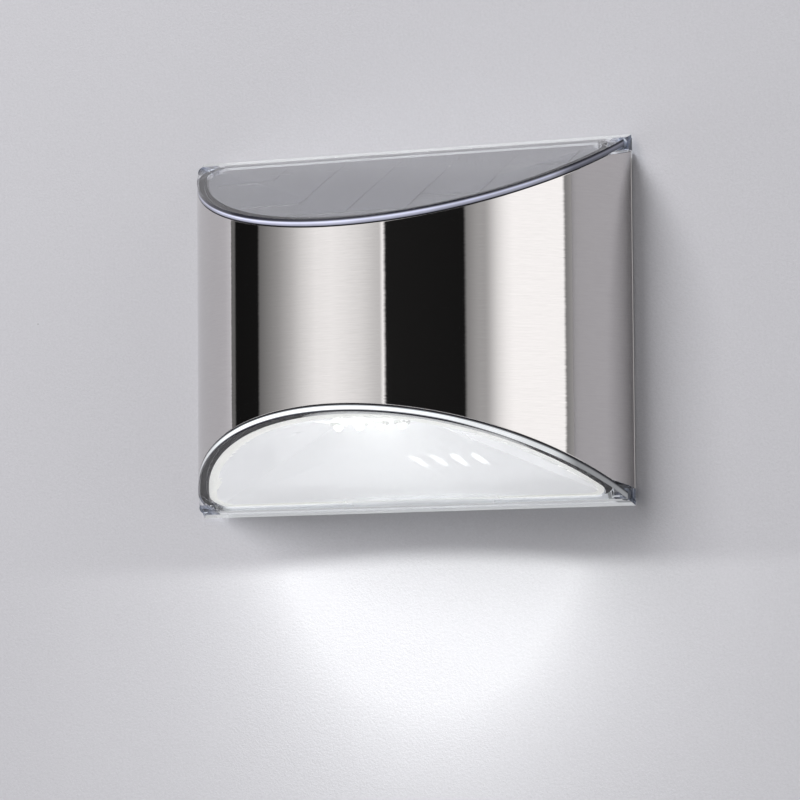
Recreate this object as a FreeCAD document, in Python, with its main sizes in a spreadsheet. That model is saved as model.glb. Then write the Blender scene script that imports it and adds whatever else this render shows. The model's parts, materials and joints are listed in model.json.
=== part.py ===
import FreeCAD, Part
import Sketcher
import math
import os
from FreeCAD import Placement, Rotation, Vector

# Solar fence light: a bowed stainless shell with clear covers over its sloped ends, a solar
# panel under the top cover and a row of LEDs in a white reflector over the bottom lens.
# Millimetres. Origin: middle of the wall face. +X right, +Y into the wall, +Z up.
# "Depth" is the distance in front of the wall, so a point at depth d lies at y = -d.

DIMENSIONS = [
    # the steel shell
    ("case_width", 120.0, "width of the shell at the wall"),
    ("case_depth", 46.9, "how far the bow stands off the wall"),
    ("wall_height", 88.5, "height of the steel at the wall"),
    ("front_height", 43.4, "height of the steel at the middle of the bow"),
    ("steel_wall", 0.6, "thickness of the steel sheet"),
    ("relief_drop", 2.2, "how far the steel's corners are lowered at the wall"),
    ("relief_run", 8.5, "depth over which that relief runs out"),
    # the clear covers
    ("cover_gap", 0.25, "seam between the steel's edge and a cover"),
    ("cover_plate", 1.75, "thickness of a cover, measured upright"),
    ("skirt_clear", 0.15, "clearance between the steel and what fits in it"),
    ("skirt_wall", 2.0, "thickness of a cover's skirt"),
    ("skirt_drop", 2.7, "reach of the skirt past the steel's edge"),
    ("skirt_back", 0.7, "depth of the skirt's back face"),
    ("corner_round", 6.0, "corner radius of the skirt"),
    ("lug_width", 4.9, "width of a corner lug"),
    ("lug_depth", 2.5, "depth of a corner lug"),
    ("lug_drop", 2.15, "reach of a lug past the steel's edge plane"),
    ("lug_proud", 0.2, "how far a lug stands out past the steel"),
    ("boss_radius", 1.5, "radius of the round boss on a lug"),
    ("boss_proud", 0.5, "height of that boss"),
    ("seal_height", 0.5, "thickness of a cover's seal"),
    ("seal_inset", 0.15, "how much narrower a seal is on each side than its skirt"),
    # the inner housing
    ("housing_wall", 2.0, "thickness of the housing's bowed wall"),
    ("back_wall", 3.2, "thickness of the housing's back"),
    ("deck_height", 1.5, "thickness of the deck under the panel"),
    ("lip_wall", 0.55, "thickness of the lip behind each skirt"),
    ("lip_width", 107.0, "length of that lip"),
    ("lip_gap", 0.4, "gap between the lip and the cover above it"),
    # the solar panel
    ("panel_gap", 0.8, "air gap under the top cover"),
    ("panel_board", 1.6, "thickness of the panel's board"),
    ("panel_clear", 0.5, "gap between the skirt and the panel"),
    ("panel_round", 4.0, "corner radius of the panel"),
    ("foam_inset", 2.0, "how much smaller the foam pad is than the panel"),
    ("solar_lead_x", 33.0, "how far left of the middle the panel's red lead comes down"),
    ("solar_lead_depth", 12.0, "depth at which the panel's leads come down"),
    ("lead_spread", 2.5, "distance between a pair of leads"),
    ("lead_hole", 1.1, "radius of the holes that the leads pass"),
    ("cell_height", 0.2, "thickness of a solar cell"),
    ("end_cell_depth", 8.2, "how deep the two end cells are"),
    ("cell_slit", 0.4, "gap between two cells"),
    ("cell_margin", 2.0, "bare border of the board around the cells"),
    ("ribbon_width", 1.6, "width of a tinned ribbon"),
    ("ribbon_height", 0.12, "thickness of a tinned ribbon"),
    ("ribbon_length", 6.0, "length of a tinned ribbon"),
    # the reflector
    ("lens_clear", 0.3, "gap between the lens and the reflector's rim"),
    ("rim_clear", 0.2, "gap between the skirt and the reflector's rim"),
    ("rim_width", 2.0, "width of the reflector's rim"),
    ("rim_back_width", 0.6, "width of the rim along the wall"),
    ("rim_round", 3.0, "corner radius inside the rim"),
    ("slant_spread", 0.6, "how far outside the rim's inside the slanted sides would start"),
    ("slant_drop", 0.15, "how far below the rim they would start"),
    ("rim_height", 1.5, "height of the reflector's rim"),
    ("tray_wall", 1.2, "thickness of the reflector's slanted sides"),
    ("window_width", 25.0, "width of the LED window"),
    ("window_back", 19.0, "depth of the window's back edge"),
    ("window_front", 33.0, "depth of the window's front edge"),
    ("window_lift", 4.4, "how far the window's front edge lies above the lens"),
    # the LED board
    ("led_board_width", 47.0, "length of the LED board"),
    ("led_board_margin", 0.6, "how much narrower the board is than the window frame"),
    ("board_height", 1.2, "thickness of the circuit boards"),
    ("led_pitch", 5.8, "pitch of the LEDs"),
    ("led_side", 3.2, "side of an LED's case"),
    ("led_height", 0.9, "height of an LED's case"),
    ("led_dome", 1.2, "radius of an LED's dome"),
    ("led_screw_edge", 2.5, "distance of the LED board's screws from its ends"),
    ("led_boss", 3.8, "height of the boss that takes such a screw"),
    ("tip_clear", 0.2, "room past the tip of such a screw"),
    # the battery and its bay
    ("cell_diameter", 14.2, "diameter of the rechargeable AA cell"),
    ("cell_length", 50.0, "length of that cell with its nub"),
    ("nub_length", 1.2, "length of the nub"),
    ("nub_radius", 2.6, "radius of the nub"),
    ("cell_shift", 1.0, "how far the cell's middle lies to the right"),
    ("cell_depth", 12.6, "depth of the cell's axis"),
    ("cell_rise", 14.0, "height of the cell's axis"),
    ("bay_clear", 0.4, "clearance between the cell and its bay"),
    ("bay_wall", 1.2, "wall of the battery bay"),
    ("contact_sheet", 0.4, "thickness of the contact plates"),
    ("contact_side", 9.0, "side of the contact plates"),
    ("contact_clear", 0.1, "seat of the contact plates and of the cell on them"),
    ("tab_width", 3.0, "width of a contact's solder tab"),
    ("tab_reach", 2.0, "reach of the tab past the bay"),
    ("spring_length", 5.0, "length of the pressed contact spring"),
    ("spring_wire", 0.5, "wire of the contact spring"),
    ("spring_small", 2.4, "small radius of the contact spring"),
    ("spring_large", 3.8, "large radius of the contact spring"),
    # the battery door
    ("door_margin_x", 9.5, "how far the door's recess passes the bay at each end"),
    ("door_margin_z", 2.2, "how far the recess passes the bay above and below"),
    ("door_sheet", 1.5, "thickness of the door"),
    ("door_recess", 0.3, "how far the door lies below the back face"),
    ("door_clear", 0.3, "gap around the door"),
    ("door_seal_height", 0.5, "thickness of the door's seal"),
    ("door_seat", 0.05, "seat of that seal on the housing"),
    ("door_seal_inset", 0.3, "gap between the seal and the bay's mouth"),
    ("door_seal_width", 1.2, "width of the door's seal"),
    ("door_boss_radius", 3.0, "radius of the boss that takes the door's screw"),
    ("door_boss_depth", 7.5, "depth of that boss"),
    # the wall mounting
    ("keyhole_spread", 94.0, "distance between the keyholes"),
    ("keyhole_rise", 8.0, "height of the keyholes' entries"),
    ("keyhole_entry", 4.25, "radius of a keyhole's entry"),
    ("keyhole_slot", 2.25, "half width of a keyhole's slot"),
    ("keyhole_travel", 8.0, "travel from the entry to the seat"),
    ("head_depth", 4.5, "room behind the back for the screw's head"),
    ("head_clear", 0.6, "room around the screw's head"),
    ("pocket_wall", 1.0, "wall of the pocket behind a keyhole"),
    # the switch and the control board
    ("switch_x", -8.0, "middle of the switch"),
    ("switch_rise", -9.0, "height of the switch"),
    ("switch_length", 8.6, "length of the switch's case"),
    ("switch_width", 4.4, "width of the switch's case"),
    ("switch_height", 3.5, "height of the switch's case"),
    ("switch_travel", 2.0, "travel of the switch's slider"),
    ("knob_length", 2.6, "length of the slider's knob"),
    ("knob_width", 2.2, "width of the slider's knob"),
    ("groove_pitch", 0.75, "pitch of the three grooves across the knob"),
    ("groove_width", 0.4, "width of such a groove"),
    ("groove_depth", 0.3, "depth of such a groove"),
    ("knob_clear", 0.4, "gap between the knob and its slot at the end of travel"),
    ("switch_side", 0.15, "gap above and below the knob"),
    ("switch_lid", 0.5, "thickness of the case between the slider and the slot"),
    ("foot_length", 5.0, "length of the slider's foot inside the case"),
    ("foot_width", 3.0, "width of that foot"),
    ("foot_height", 1.2, "thickness of that foot"),
    ("foot_clear", 0.1, "clearance around that foot"),
    ("knob_recess", 0.3, "how far the knob's end lies below the back face"),
    ("pin_pitch", 2.5, "pitch of the switch's pins"),
    ("pin_radius", 0.4, "radius of a pin"),
    ("pin_clear", 0.1, "clearance of a pin in the board"),
    ("finger_width", 13.0, "width of the dished finger recess"),
    ("finger_height", 8.0, "height of the dished finger recess"),
    ("finger_depth", 1.2, "depth of that recess"),
    ("control_width", 36.0, "length of the control board"),
    ("control_height", 17.0, "height of the control board"),
    ("post_radius", 2.2, "radius of a screw post"),
    # the screws
    ("screw_radius", 1.0, "radius of the small screws"),
    ("screw_pilot", 1.05, "radius of the holes that they cut their thread in"),
    ("screw_free", 1.2, "radius of the holes that they pass"),
    ("screw_length", 5.0, "length of the shanks in the housing's posts"),
    ("led_screw_length", 3.2, "length of the shanks in the reflector's bosses"),
    ("head_radius", 1.9, "radius of their heads"),
    ("head_height", 0.9, "height of their heads"),
    ("cross_width", 0.5, "width of the cross recess"),
    ("cross_depth", 0.5, "depth of the cross recess"),
    ("cross_span", 2.4, "span of the cross recess"),
    # the parts on the control board
    ("chip_x", -8.5, "place of the chip from the switch"),
    ("chip_z", 4.5, "and upwards"),
    ("choke_x", -5.0, "place of the inductor from the switch"),
    ("choke_z", -4.5, "and upwards"),
    ("capacitor_x", 4.0, "place of the capacitor from the switch"),
    ("capacitor_z", 5.0, "and upwards"),
    ("resistor_x", 3.0, "place of the resistor from the switch"),
    ("resistor_z", -5.5, "and upwards"),
    ("chip_length", 5.0, "length of the controller chip"),
    ("chip_width", 3.9, "width of the controller chip"),
    ("chip_height", 1.5, "thickness of the controller chip"),
    ("chip_standoff", 0.15, "gap between the chip's case and the board"),
    ("chip_leg", 0.4, "width of a leg"),
    ("chip_leg_reach", 1.0, "reach of a leg past the case"),
    ("chip_leg_pitch", 1.27, "pitch of the legs"),
    ("choke_radius", 3.0, "radius of the inductor's flanges"),
    ("choke_height", 5.0, "height of the inductor"),
    ("choke_flange", 0.8, "thickness of those flanges"),
    ("choke_core", 1.5, "radius of the inductor's core"),
    ("coil_radius", 2.6, "outer radius of the inductor's winding"),
    ("capacitor_radius", 2.5, "radius of the capacitor"),
    ("capacitor_height", 7.0, "height of the capacitor"),
    ("resistor_radius", 0.9, "radius of the resistor"),
    ("resistor_length", 5.0, "length of the resistor's body"),
    ("resistor_wire", 0.3, "radius of its wires"),
    ("resistor_wire_reach", 1.6, "reach of each wire past the body"),
    # the leads
    ("lead_radius", 0.6, "radius of a lead with its sleeve"),
    ("lead_bend", 3.0, "bend radius of the leads where there is room"),
    ("pad_row", 5.0, "height of the solder pads above and below the board's middle"),
    ("pad_edge", 2.0, "distance of the outer pads from the board's ends"),
    ("pad_pitch", 4.0, "distance from one pad to the next"),
    ("lead_loop", 5.0, "how far the cell's leads stand off its tabs"),
    ("led_pad_shift", 4.0, "how far behind the LEDs their leads are soldered"),
]


class Size:
    """A length as both its number and the sheet expression that gives it."""

    def __init__(self, value, text):
        self.value = value
        self.text = text

    def joined(self, sign, other, value):
        return Size(value, "(%s %s %s)" % (self.text, sign, size(other).text))

    def __add__(self, other):
        return self.joined("+", other, self.value + size(other).value)

    def __sub__(self, other):
        return self.joined("-", other, self.value - size(other).value)

    def __mul__(self, other):
        return self.joined("*", other, self.value * size(other).value)

    def __truediv__(self, other):
        return self.joined("/", other, self.value / size(other).value)

    def __radd__(self, other):
        return size(other) + self

    def __rsub__(self, other):
        return size(other) - self

    def __rmul__(self, other):
        return size(other) * self

    def __neg__(self):
        return size(0) - self


def size(value):
    if isinstance(value, Size):
        return value
    return Size(float(value), repr(float(value)))


def root(value):
    return Size(math.sqrt(value.value), "sqrt(%s)" % value.text)


doc = FreeCAD.newDocument("fence_light")
sheet = doc.addObject("Spreadsheet::Sheet", "dims")


class Dims:
    """The driving dimensions, each readable as d.NAME."""


d = Dims()
for row, (alias, number, meaning) in enumerate(DIMENSIONS, start=1):
    sheet.set("A%d" % row, alias)
    sheet.set("B%d" % row, repr(number))
    sheet.setAlias("B%d" % row, alias)
    sheet.set("C%d" % row, meaning)
    setattr(d, alias, Size(number, "dims." + alias))
doc.recompute()


# ---------------------------------------------------------------- sizes that follow from those
# The bow is one circle through both ends of the shell and the middle of the bow.
bow_radius = (d.case_width * d.case_width / 4 + d.case_depth * d.case_depth) / (2 * d.case_depth)
bow_centre = bow_radius - d.case_depth
slope = (d.wall_height - d.front_height) / (2 * d.case_depth)
edge_rise = d.wall_height / 2

skirt_inset = d.steel_wall + d.skirt_clear
skirt_inner = skirt_inset + d.skirt_wall
ring_drop = d.skirt_drop + d.seal_height
panel_inset = skirt_inner + d.panel_clear
panel_back = d.skirt_back + d.skirt_wall + d.panel_clear
panel_top = d.panel_gap - d.cover_gap
housing_inner = skirt_inset + d.housing_wall
bay_half = d.cell_diameter / 2 + d.bay_clear
bay_left = d.cell_shift - d.cell_length / 2 - d.spring_length - d.contact_sheet - 2 * d.contact_clear
bay_right = d.cell_shift + d.cell_length / 2 + d.contact_sheet + 2 * d.contact_clear
bay_floor = d.cell_depth + bay_half
recess_depth = d.door_recess + d.door_sheet + d.door_seal_height
door_left = bay_left - d.door_margin_x
door_right = bay_right + d.door_margin_x
door_screws_x = (door_left + d.door_boss_radius + d.door_clear,
                 door_right - d.door_boss_radius - d.door_clear)
board_depth = d.back_wall + d.switch_height
minus_x = bay_left + d.contact_clear
plus_x = bay_right - d.contact_clear - d.contact_sheet
rim_inset = skirt_inner + d.rim_clear
rim_back = d.skirt_back + d.skirt_wall + d.rim_clear
post_spread = d.control_width / 2 - d.post_radius - d.screw_free
board_face = board_depth + d.board_height
window_depth = (d.window_back + d.window_front) / 2
window_drop = edge_rise - slope * d.window_front - d.window_lift
led_screw_spread = d.led_board_width - 2 * d.led_screw_edge
slider_x = d.switch_x - d.switch_travel / 2
slot_half = (d.knob_length + d.switch_travel) / 2 + d.knob_clear
slot_rise = d.knob_width / 2 + d.switch_side
foot_face = d.back_wall + d.switch_lid + d.foot_clear
door_face = d.door_recess + d.door_sheet
bay_low = d.cell_rise - bay_half
bay_high = d.cell_rise + bay_half
case_reach = d.case_depth + d.corner_round
far = 2 * d.case_width


def bow_half_width(inset, depth):
    """Half the width of the bow, drawn in by inset, at a depth in front of the wall."""
    radius = bow_radius - inset
    offset = bow_centre + depth
    return root(radius * radius - offset * offset)


def bow_depth(inset, x):
    """Depth of the bow, drawn in by inset, at a distance x from the middle."""
    radius = bow_radius - inset
    return root(radius * radius - x * x) - bow_centre


CELL_COUNT = 6
LED_COUNT = 4
SPRING_TURNS = 4
cell_inset = panel_inset + d.cell_margin
cell_back = panel_back + d.cell_margin
cell_pitch = bow_half_width(cell_inset, cell_back + d.end_cell_depth) * 2 / CELL_COUNT


# ---------------------------------------------------------------- ways to build
def bind(thing, name, value):
    thing.setExpression(name, size(value).text)


def new_body(label):
    body = doc.addObject("PartDesign::Body", label)
    body.Label = label
    body.AllowCompound = True
    return body


def origin_plane(body, role):
    for feature in body.Origin.OriginFeatures:
        if feature.Role == role:
            return feature
    raise ValueError("no plane " + role)


def new_sketch(body, name, role, offset=0):
    sketch = body.newObject("Sketcher::SketchObject", name)
    sketch.AttachmentSupport = [(origin_plane(body, role), "")]
    sketch.MapMode = "FlatFace"
    bind(sketch, "AttachmentOffset.Base.z", offset)
    return sketch


def pin_point(sketch, item, end, x, y):
    """Hold one point of a sketch at x, y from the sketch's origin."""
    for kind, value in (("DistanceX", size(x)), ("DistanceY", size(y))):
        number = sketch.addConstraint(Sketcher.Constraint(kind, -1, 1, item, end, value.value))
        sketch.setExpression("Constraints[%d]" % number, value.text)


def add_polygon(sketch, corners):
    """Add a closed outline through corners, each a pair of sizes."""
    first = sketch.GeometryCount
    points = [Vector(size(x).value, size(y).value, 0) for x, y in corners]
    count = len(points)
    for index in range(count):
        sketch.addGeometry(Part.LineSegment(points[index], points[(index + 1) % count]), False)
    for index in range(count):
        following = first + (index + 1) % count
        sketch.addConstraint(Sketcher.Constraint("Coincident", first + index, 2, following, 1))
    for index, (x, y) in enumerate(corners):
        pin_point(sketch, first + index, 1, x, y)


def add_rectangle(sketch, low_x, high_x, low_y, high_y):
    add_polygon(sketch, [(low_x, low_y), (high_x, low_y), (high_x, high_y), (low_x, high_y)])


def add_radius(sketch, item, radius):
    number = sketch.addConstraint(Sketcher.Constraint("Radius", item, radius.value))
    sketch.setExpression("Constraints[%d]" % number, radius.text)


def add_bow(sketch, inset, back, corner=None):
    """Add a D: the bow drawn in by inset, closed at depth back, its corners rounded if asked."""
    inset, back = size(inset), size(back)
    radius = bow_radius - inset
    centre = Vector(0, bow_centre.value, 0)
    along = Vector(0, 0, 1)
    if corner is None:
        half = bow_half_width(inset, back).value
        right = math.atan2(-back.value - centre.y, half)
        left = math.pi - right - 2 * math.pi
        bow = sketch.addGeometry(Part.ArcOfCircle(Part.Circle(centre, along, radius.value), left, right))
        chord = sketch.addGeometry(Part.LineSegment(Vector(half, -back.value, 0),
                                                    Vector(-half, -back.value, 0)))
        sketch.addConstraint(Sketcher.Constraint("Coincident", bow, 2, chord, 1))
        sketch.addConstraint(Sketcher.Constraint("Coincident", chord, 2, bow, 1))
    else:
        inner = bow_half_width(inset + corner, back + corner).value
        turn = Vector(inner, -back.value - corner.value, 0)
        touch = math.atan2(turn.y - centre.y, inner)
        left_touch = math.pi - touch - 2 * math.pi
        bow = sketch.addGeometry(Part.ArcOfCircle(Part.Circle(centre, along, radius.value),
                                                  left_touch, touch))
        right_corner = sketch.addGeometry(Part.ArcOfCircle(
            Part.Circle(turn, along, corner.value), touch, math.pi / 2))
        chord = sketch.addGeometry(Part.LineSegment(Vector(inner, -back.value, 0),
                                                    Vector(-inner, -back.value, 0)))
        left_corner = sketch.addGeometry(Part.ArcOfCircle(
            Part.Circle(Vector(-turn.x, turn.y, 0), along, corner.value),
            math.pi / 2, left_touch + 2 * math.pi))
        for one, one_end, other, other_end in ((bow, 2, right_corner, 1), (right_corner, 2, chord, 1),
                                               (chord, 2, left_corner, 1), (left_corner, 2, bow, 1)):
            sketch.addConstraint(Sketcher.Constraint("Tangent", one, one_end, other, other_end))
        add_radius(sketch, right_corner, corner)
        add_radius(sketch, left_corner, corner)
    pin_point(sketch, bow, 3, 0, bow_centre)
    add_radius(sketch, bow, radius)
    sketch.addConstraint(Sketcher.Constraint("Horizontal", chord))
    number = sketch.addConstraint(Sketcher.Constraint("DistanceY", -1, 1, chord, 1, -back.value))
    sketch.setExpression("Constraints[%d]" % number, (-back).text)


def pad(body, name, sketch, length, middle=False):
    feature = body.newObject("PartDesign::Pad", name)
    feature.Profile = sketch
    feature.SideType = "Symmetric" if middle else "One side"
    bind(feature, "Length", length)
    sketch.Visibility = False
    return feature


def pocket(body, name, sketch, length):
    """Cut a sketch's outline length deep to both sides of its plane."""
    feature = body.newObject("PartDesign::Pocket", name)
    feature.Profile = sketch
    feature.SideType = "Symmetric"
    bind(feature, "Length", length)
    return feature


def block(body, name, kind, x, y, z):
    """Add or cut a box between pairs of sizes along x, y and z."""
    feature = body.newObject("PartDesign::%sBox" % kind, name)
    for axis, prop, (low, high) in (("x", "Length", x), ("y", "Width", y), ("z", "Height", z)):
        bind(feature, prop, size(high) - low)
        bind(feature, "Placement.Base." + axis, low)
    return feature


TURNS = {"x": Rotation(Vector(0, 1, 0), 90), "y": Rotation(Vector(1, 0, 0), -90), "z": Rotation()}


def rod(body, name, kind, axis, start, radius, length):
    """Add or cut a round bar that starts at a point and runs along +x, +y or +z."""
    feature = body.newObject("PartDesign::%sCylinder" % kind, name)
    feature.Placement = Placement(Vector(), TURNS[axis])
    bind(feature, "Radius", radius)
    bind(feature, "Height", length)
    for letter, value in zip("xyz", start):
        bind(feature, "Placement.Base." + letter, value)
    return feature


def sloped_strip(body, name, low, high, side, back=0, front=None):
    """A band along the case's sloped end, from low to high past the edge of the steel."""
    front = case_reach if front is None else front
    rises = [edge_rise + low - slope * back, edge_rise + high - slope * back,
             edge_rise + high - slope * front, edge_rise + low - slope * front]
    depths = [back, back, front, front]
    sketch = new_sketch(body, name + "_side", "YZ_Plane")
    add_polygon(sketch, [(-size(depth), side * rise) for depth, rise in zip(depths, rises)])
    return pad(body, name, sketch, 2 * case_reach + d.case_width, middle=True)


def trim_to_bow(body, name, inset, back, corner=None):
    """Cut away all that lies outside a D."""
    sketch = new_sketch(body, name + "_plan", "XY_Plane")
    add_rectangle(sketch, -far, far, -far, far)
    add_bow(sketch, inset, back, corner)
    return pocket(body, name, sketch, far)


def cut_bow(body, name, inset, back, corner=None):
    """Cut a D out of the middle."""
    sketch = new_sketch(body, name + "_plan", "XY_Plane")
    add_bow(sketch, inset, back, corner)
    return pocket(body, name, sketch, far)


def group(label, members):
    """One node that holds several like pieces as separate solids."""
    compound = doc.addObject("Part::Compound", label)
    compound.Links = members
    compound.Label = label
    return compound


# ---------------------------------------------------------------- the steel shell
def make_steel_shell():
    body = new_body("steel_shell")
    plan = new_sketch(body, "shell_plan", "XY_Plane")
    add_bow(plan, 0, 0)
    pad(body, "shell_block", plan, d.wall_height, middle=True)
    cut_bow(body, "shell_inside", d.steel_wall, -d.steel_wall)
    for side, word in ((1, "top"), (-1, "bottom")):
        ends = new_sketch(body, word + "_slope", "YZ_Plane")
        run_out = edge_rise - slope * d.relief_run
        add_polygon(ends, [(d.steel_wall, side * (edge_rise - d.relief_drop)),
                           (0, side * (edge_rise - d.relief_drop)),
                           (-d.relief_run, side * run_out),
                           (-case_reach, side * (edge_rise - slope * case_reach)),
                           (-case_reach, side * far), (d.steel_wall, side * far)])
        pocket(body, word + "_cut", ends, far)
    return body


# ---------------------------------------------------------------- the clear covers
def make_cover(label, side):
    """A flat clear plate with a skirt inside the steel and a lug at each corner by the wall."""
    body = new_body(label)
    sloped_strip(body, "skirt_band", -d.skirt_drop, d.cover_gap, side)
    trim_to_bow(body, "skirt_outside", skirt_inset, d.skirt_back, d.corner_round)
    cut_bow(body, "skirt_inside", skirt_inner, d.skirt_back + d.skirt_wall,
            d.corner_round - d.skirt_wall)
    plate = new_body(label + "_plate")
    sloped_strip(plate, "plate_band", d.cover_gap, d.cover_gap + d.cover_plate, side)
    trim_to_bow(plate, "plate_outside", 0, 0)
    joined = body.newObject("PartDesign::Boolean", "plate_joined")
    joined.Type = "Fuse"
    joined.setObjects([plate])
    lug_back = d.contact_clear
    lug_front = lug_back + d.lug_depth
    lug_outer = d.case_width / 2 + d.lug_proud
    lug_inner = lug_outer - d.lug_width
    lug_low = edge_rise - d.lug_drop
    plate_middle = edge_rise + d.cover_gap + d.cover_plate / 2
    for hand, word in ((1, "right"), (-1, "left")):
        start = lug_inner if hand > 0 else -lug_outer
        lug = new_sketch(body, word + "_lug_side", "YZ_Plane", start)
        add_polygon(lug, [(-lug_back, side * lug_low), (-lug_front, side * lug_low),
                          (-lug_front, side * (plate_middle - slope * lug_front)),
                          (-lug_back, side * (plate_middle - slope * lug_back))])
        pad(body, word + "_lug", lug, d.lug_width)
        rod(body, word + "_boss", "Additive", "y",
            (hand * (lug_outer - d.boss_radius - d.lug_proud), -lug_front - d.boss_proud,
             side * (lug_low + d.boss_radius)), d.boss_radius, d.boss_proud + d.lug_depth / 2)
    return body


def make_seal(label, side):
    body = new_body(label)
    sloped_strip(body, "seal_band", -ring_drop, -d.skirt_drop, side)
    trim_to_bow(body, "seal_outside", skirt_inset + d.seal_inset, d.skirt_back + d.seal_inset,
                d.corner_round - d.seal_inset)
    cut_bow(body, "seal_inside", skirt_inner - d.seal_inset,
            d.skirt_back + d.skirt_wall - d.seal_inset,
            d.corner_round - d.skirt_wall + d.seal_inset)
    return body


# ---------------------------------------------------------------- the inner housing
def make_inner_housing():
    """The moulded housing: a bowed wall, a back, a deck for the panel, the battery bay,
    the keyhole pockets, and the posts and slots for the switch and the door."""
    body = new_body("inner_housing")
    sloped = new_sketch(body, "wall_side", "YZ_Plane")
    add_polygon(sloped, [(0, edge_rise - ring_drop),
                         (-case_reach, edge_rise - ring_drop - slope * case_reach),
                         (-case_reach, slope * case_reach + ring_drop - edge_rise),
                         (0, ring_drop - edge_rise)])
    pad(body, "wall_block", sloped, far, middle=True)
    trim_to_bow(body, "wall_outside", skirt_inset, 0)
    under_deck = edge_rise - ring_drop - d.deck_height
    hollow_bar = new_body("hollow_tool")
    tool_side = new_sketch(hollow_bar, "tool_side", "YZ_Plane")
    add_polygon(tool_side, [(-d.back_wall, under_deck - slope * d.back_wall),
                            (-case_reach, under_deck - slope * case_reach),
                            (-case_reach, -far), (-d.back_wall, -far)])
    pad(hollow_bar, "tool_block", tool_side, far, middle=True)
    trim_to_bow(hollow_bar, "tool_outside", housing_inner, d.back_wall)
    hollowed = body.newObject("PartDesign::Boolean", "hollowed")
    hollowed.Type = "Cut"
    hollowed.setObjects([hollow_bar])
    for side, word in ((1, "top"), (-1, "bottom")):
        low = side * (edge_rise - ring_drop - d.lip_wall)
        high = side * (edge_rise + d.cover_gap - d.lip_gap)
        span = (low, high) if side > 0 else (high, low)
        block(body, word + "_lip", "Additive", (-d.lip_width / 2, d.lip_width / 2),
              (-d.lip_wall, 0), span)
    add_keyholes(body)
    add_battery_bay(body)
    add_switch_seat(body)
    for name, x in (("red_hole", -d.solar_lead_x), ("black_hole", -d.solar_lead_x - d.lead_spread)):
        rod(body, name, "Subtractive", "z", (x, -d.solar_lead_depth, d.front_height / 2),
            d.lead_hole, edge_rise)
    return body


def add_keyholes(body):
    """Two keyholes, each an entry for a screw's head and a slot up to its seat."""
    room = d.keyhole_entry + d.head_clear
    for hand, word in ((1, "right"), (-1, "left")):
        x = hand * d.keyhole_spread / 2
        top = d.keyhole_rise + d.keyhole_travel + room
        block(body, word + "_pocket", "Additive",
              (x - room - d.pocket_wall, x + room + d.pocket_wall),
              (-d.back_wall - d.head_depth - d.pocket_wall, -d.back_wall),
              (d.keyhole_rise - room - d.pocket_wall, top + d.pocket_wall))
        block(body, word + "_pocket_room", "Subtractive", (x - room, x + room),
              (-d.back_wall - d.head_depth, -d.back_wall), (d.keyhole_rise - room, top))
        rod(body, word + "_entry", "Subtractive", "y", (x, -d.back_wall - 1, d.keyhole_rise),
            d.keyhole_entry, d.back_wall + 2)
        block(body, word + "_slot", "Subtractive", (x - d.keyhole_slot, x + d.keyhole_slot),
              (-d.back_wall - 1, 1), (d.keyhole_rise, d.keyhole_rise + d.keyhole_travel))
        rod(body, word + "_seat", "Subtractive", "y",
            (x, -d.back_wall - 1, d.keyhole_rise + d.keyhole_travel), d.keyhole_slot,
            d.back_wall + 2)


def add_battery_bay(body):
    """A box behind the back for the cell, with a stepped recess for the door."""
    block(body, "bay_box", "Additive", (bay_left - d.bay_wall, bay_right + d.bay_wall),
          (-bay_floor - d.bay_wall, -d.back_wall), (bay_low - d.bay_wall, bay_high + d.bay_wall))
    for word, x in zip(("left", "right"), door_screws_x):
        rod(body, word + "_door_boss", "Additive", "y", (x, -d.door_boss_depth, d.cell_rise),
            d.door_boss_radius, d.door_boss_depth - recess_depth)
    block(body, "bay_hollow", "Subtractive", (bay_left, bay_right), (-bay_floor, 1),
          (bay_low, bay_high))
    slot_width = d.contact_sheet + 2 * d.contact_clear
    tab_half = d.tab_width / 2 + d.contact_clear
    for word, slot_left in (("left", bay_left), ("right", bay_right - slot_width)):
        block(body, word + "_tab_slot", "Subtractive", (slot_left, slot_left + slot_width),
              (-bay_floor - 2 * d.bay_wall, -bay_floor),
              (d.cell_rise - tab_half, d.cell_rise + tab_half))
    block(body, "door_recess_cut", "Subtractive", (door_left, door_right), (-recess_depth, 1),
          (bay_low - d.door_margin_z, bay_high + d.door_margin_z))
    for word, x in zip(("left", "right"), door_screws_x):
        rod(body, word + "_door_pilot", "Subtractive", "y",
            (x, d.screw_radius - d.door_boss_depth, d.cell_rise), d.screw_pilot, d.door_boss_depth)


def add_switch_seat(body):
    """The finger recess and slot for the slider, and the posts of the control board."""
    x, z = d.switch_x, d.switch_rise
    block(body, "finger_recess", "Subtractive", (x - d.finger_width / 2, x + d.finger_width / 2),
          (-d.finger_depth, 1), (z - d.finger_height / 2, z + d.finger_height / 2))
    block(body, "slider_slot", "Subtractive", (x - slot_half, x + slot_half),
          (-d.back_wall - 1, 1), (z - slot_rise, z + slot_rise))
    for hand, word in ((1, "right"), (-1, "left")):
        post_x = x + hand * post_spread
        rod(body, word + "_post", "Additive", "y", (post_x, -board_depth, z), d.post_radius,
            board_depth - d.back_wall)
        rod(body, word + "_post_pilot", "Subtractive", "y", (post_x, -board_depth, z),
            d.screw_pilot, d.screw_length)


# ---------------------------------------------------------------- the solar panel
def make_panel_sheet(label, inset, back, low, high, corner):
    body = new_body(label)
    sloped_strip(body, "sheet_band", low, high, 1)
    trim_to_bow(body, "sheet_outside", inset, back, corner)
    return body


def sloped_block(label, x, depth, low, high):
    """A small slab that lies along the top's slope, as a body of its own."""
    body = new_body(label)
    sketch = new_sketch(body, label + "_side", "YZ_Plane", x[0])
    corners = []
    for reach, rise in ((depth[0], low), (depth[1], low), (depth[1], high), (depth[0], high)):
        corners.append((-reach, edge_rise + rise - slope * reach))
    add_polygon(sketch, corners)
    pad(body, label + "_pad", sketch, size(x[1]) - x[0])
    return body


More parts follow.
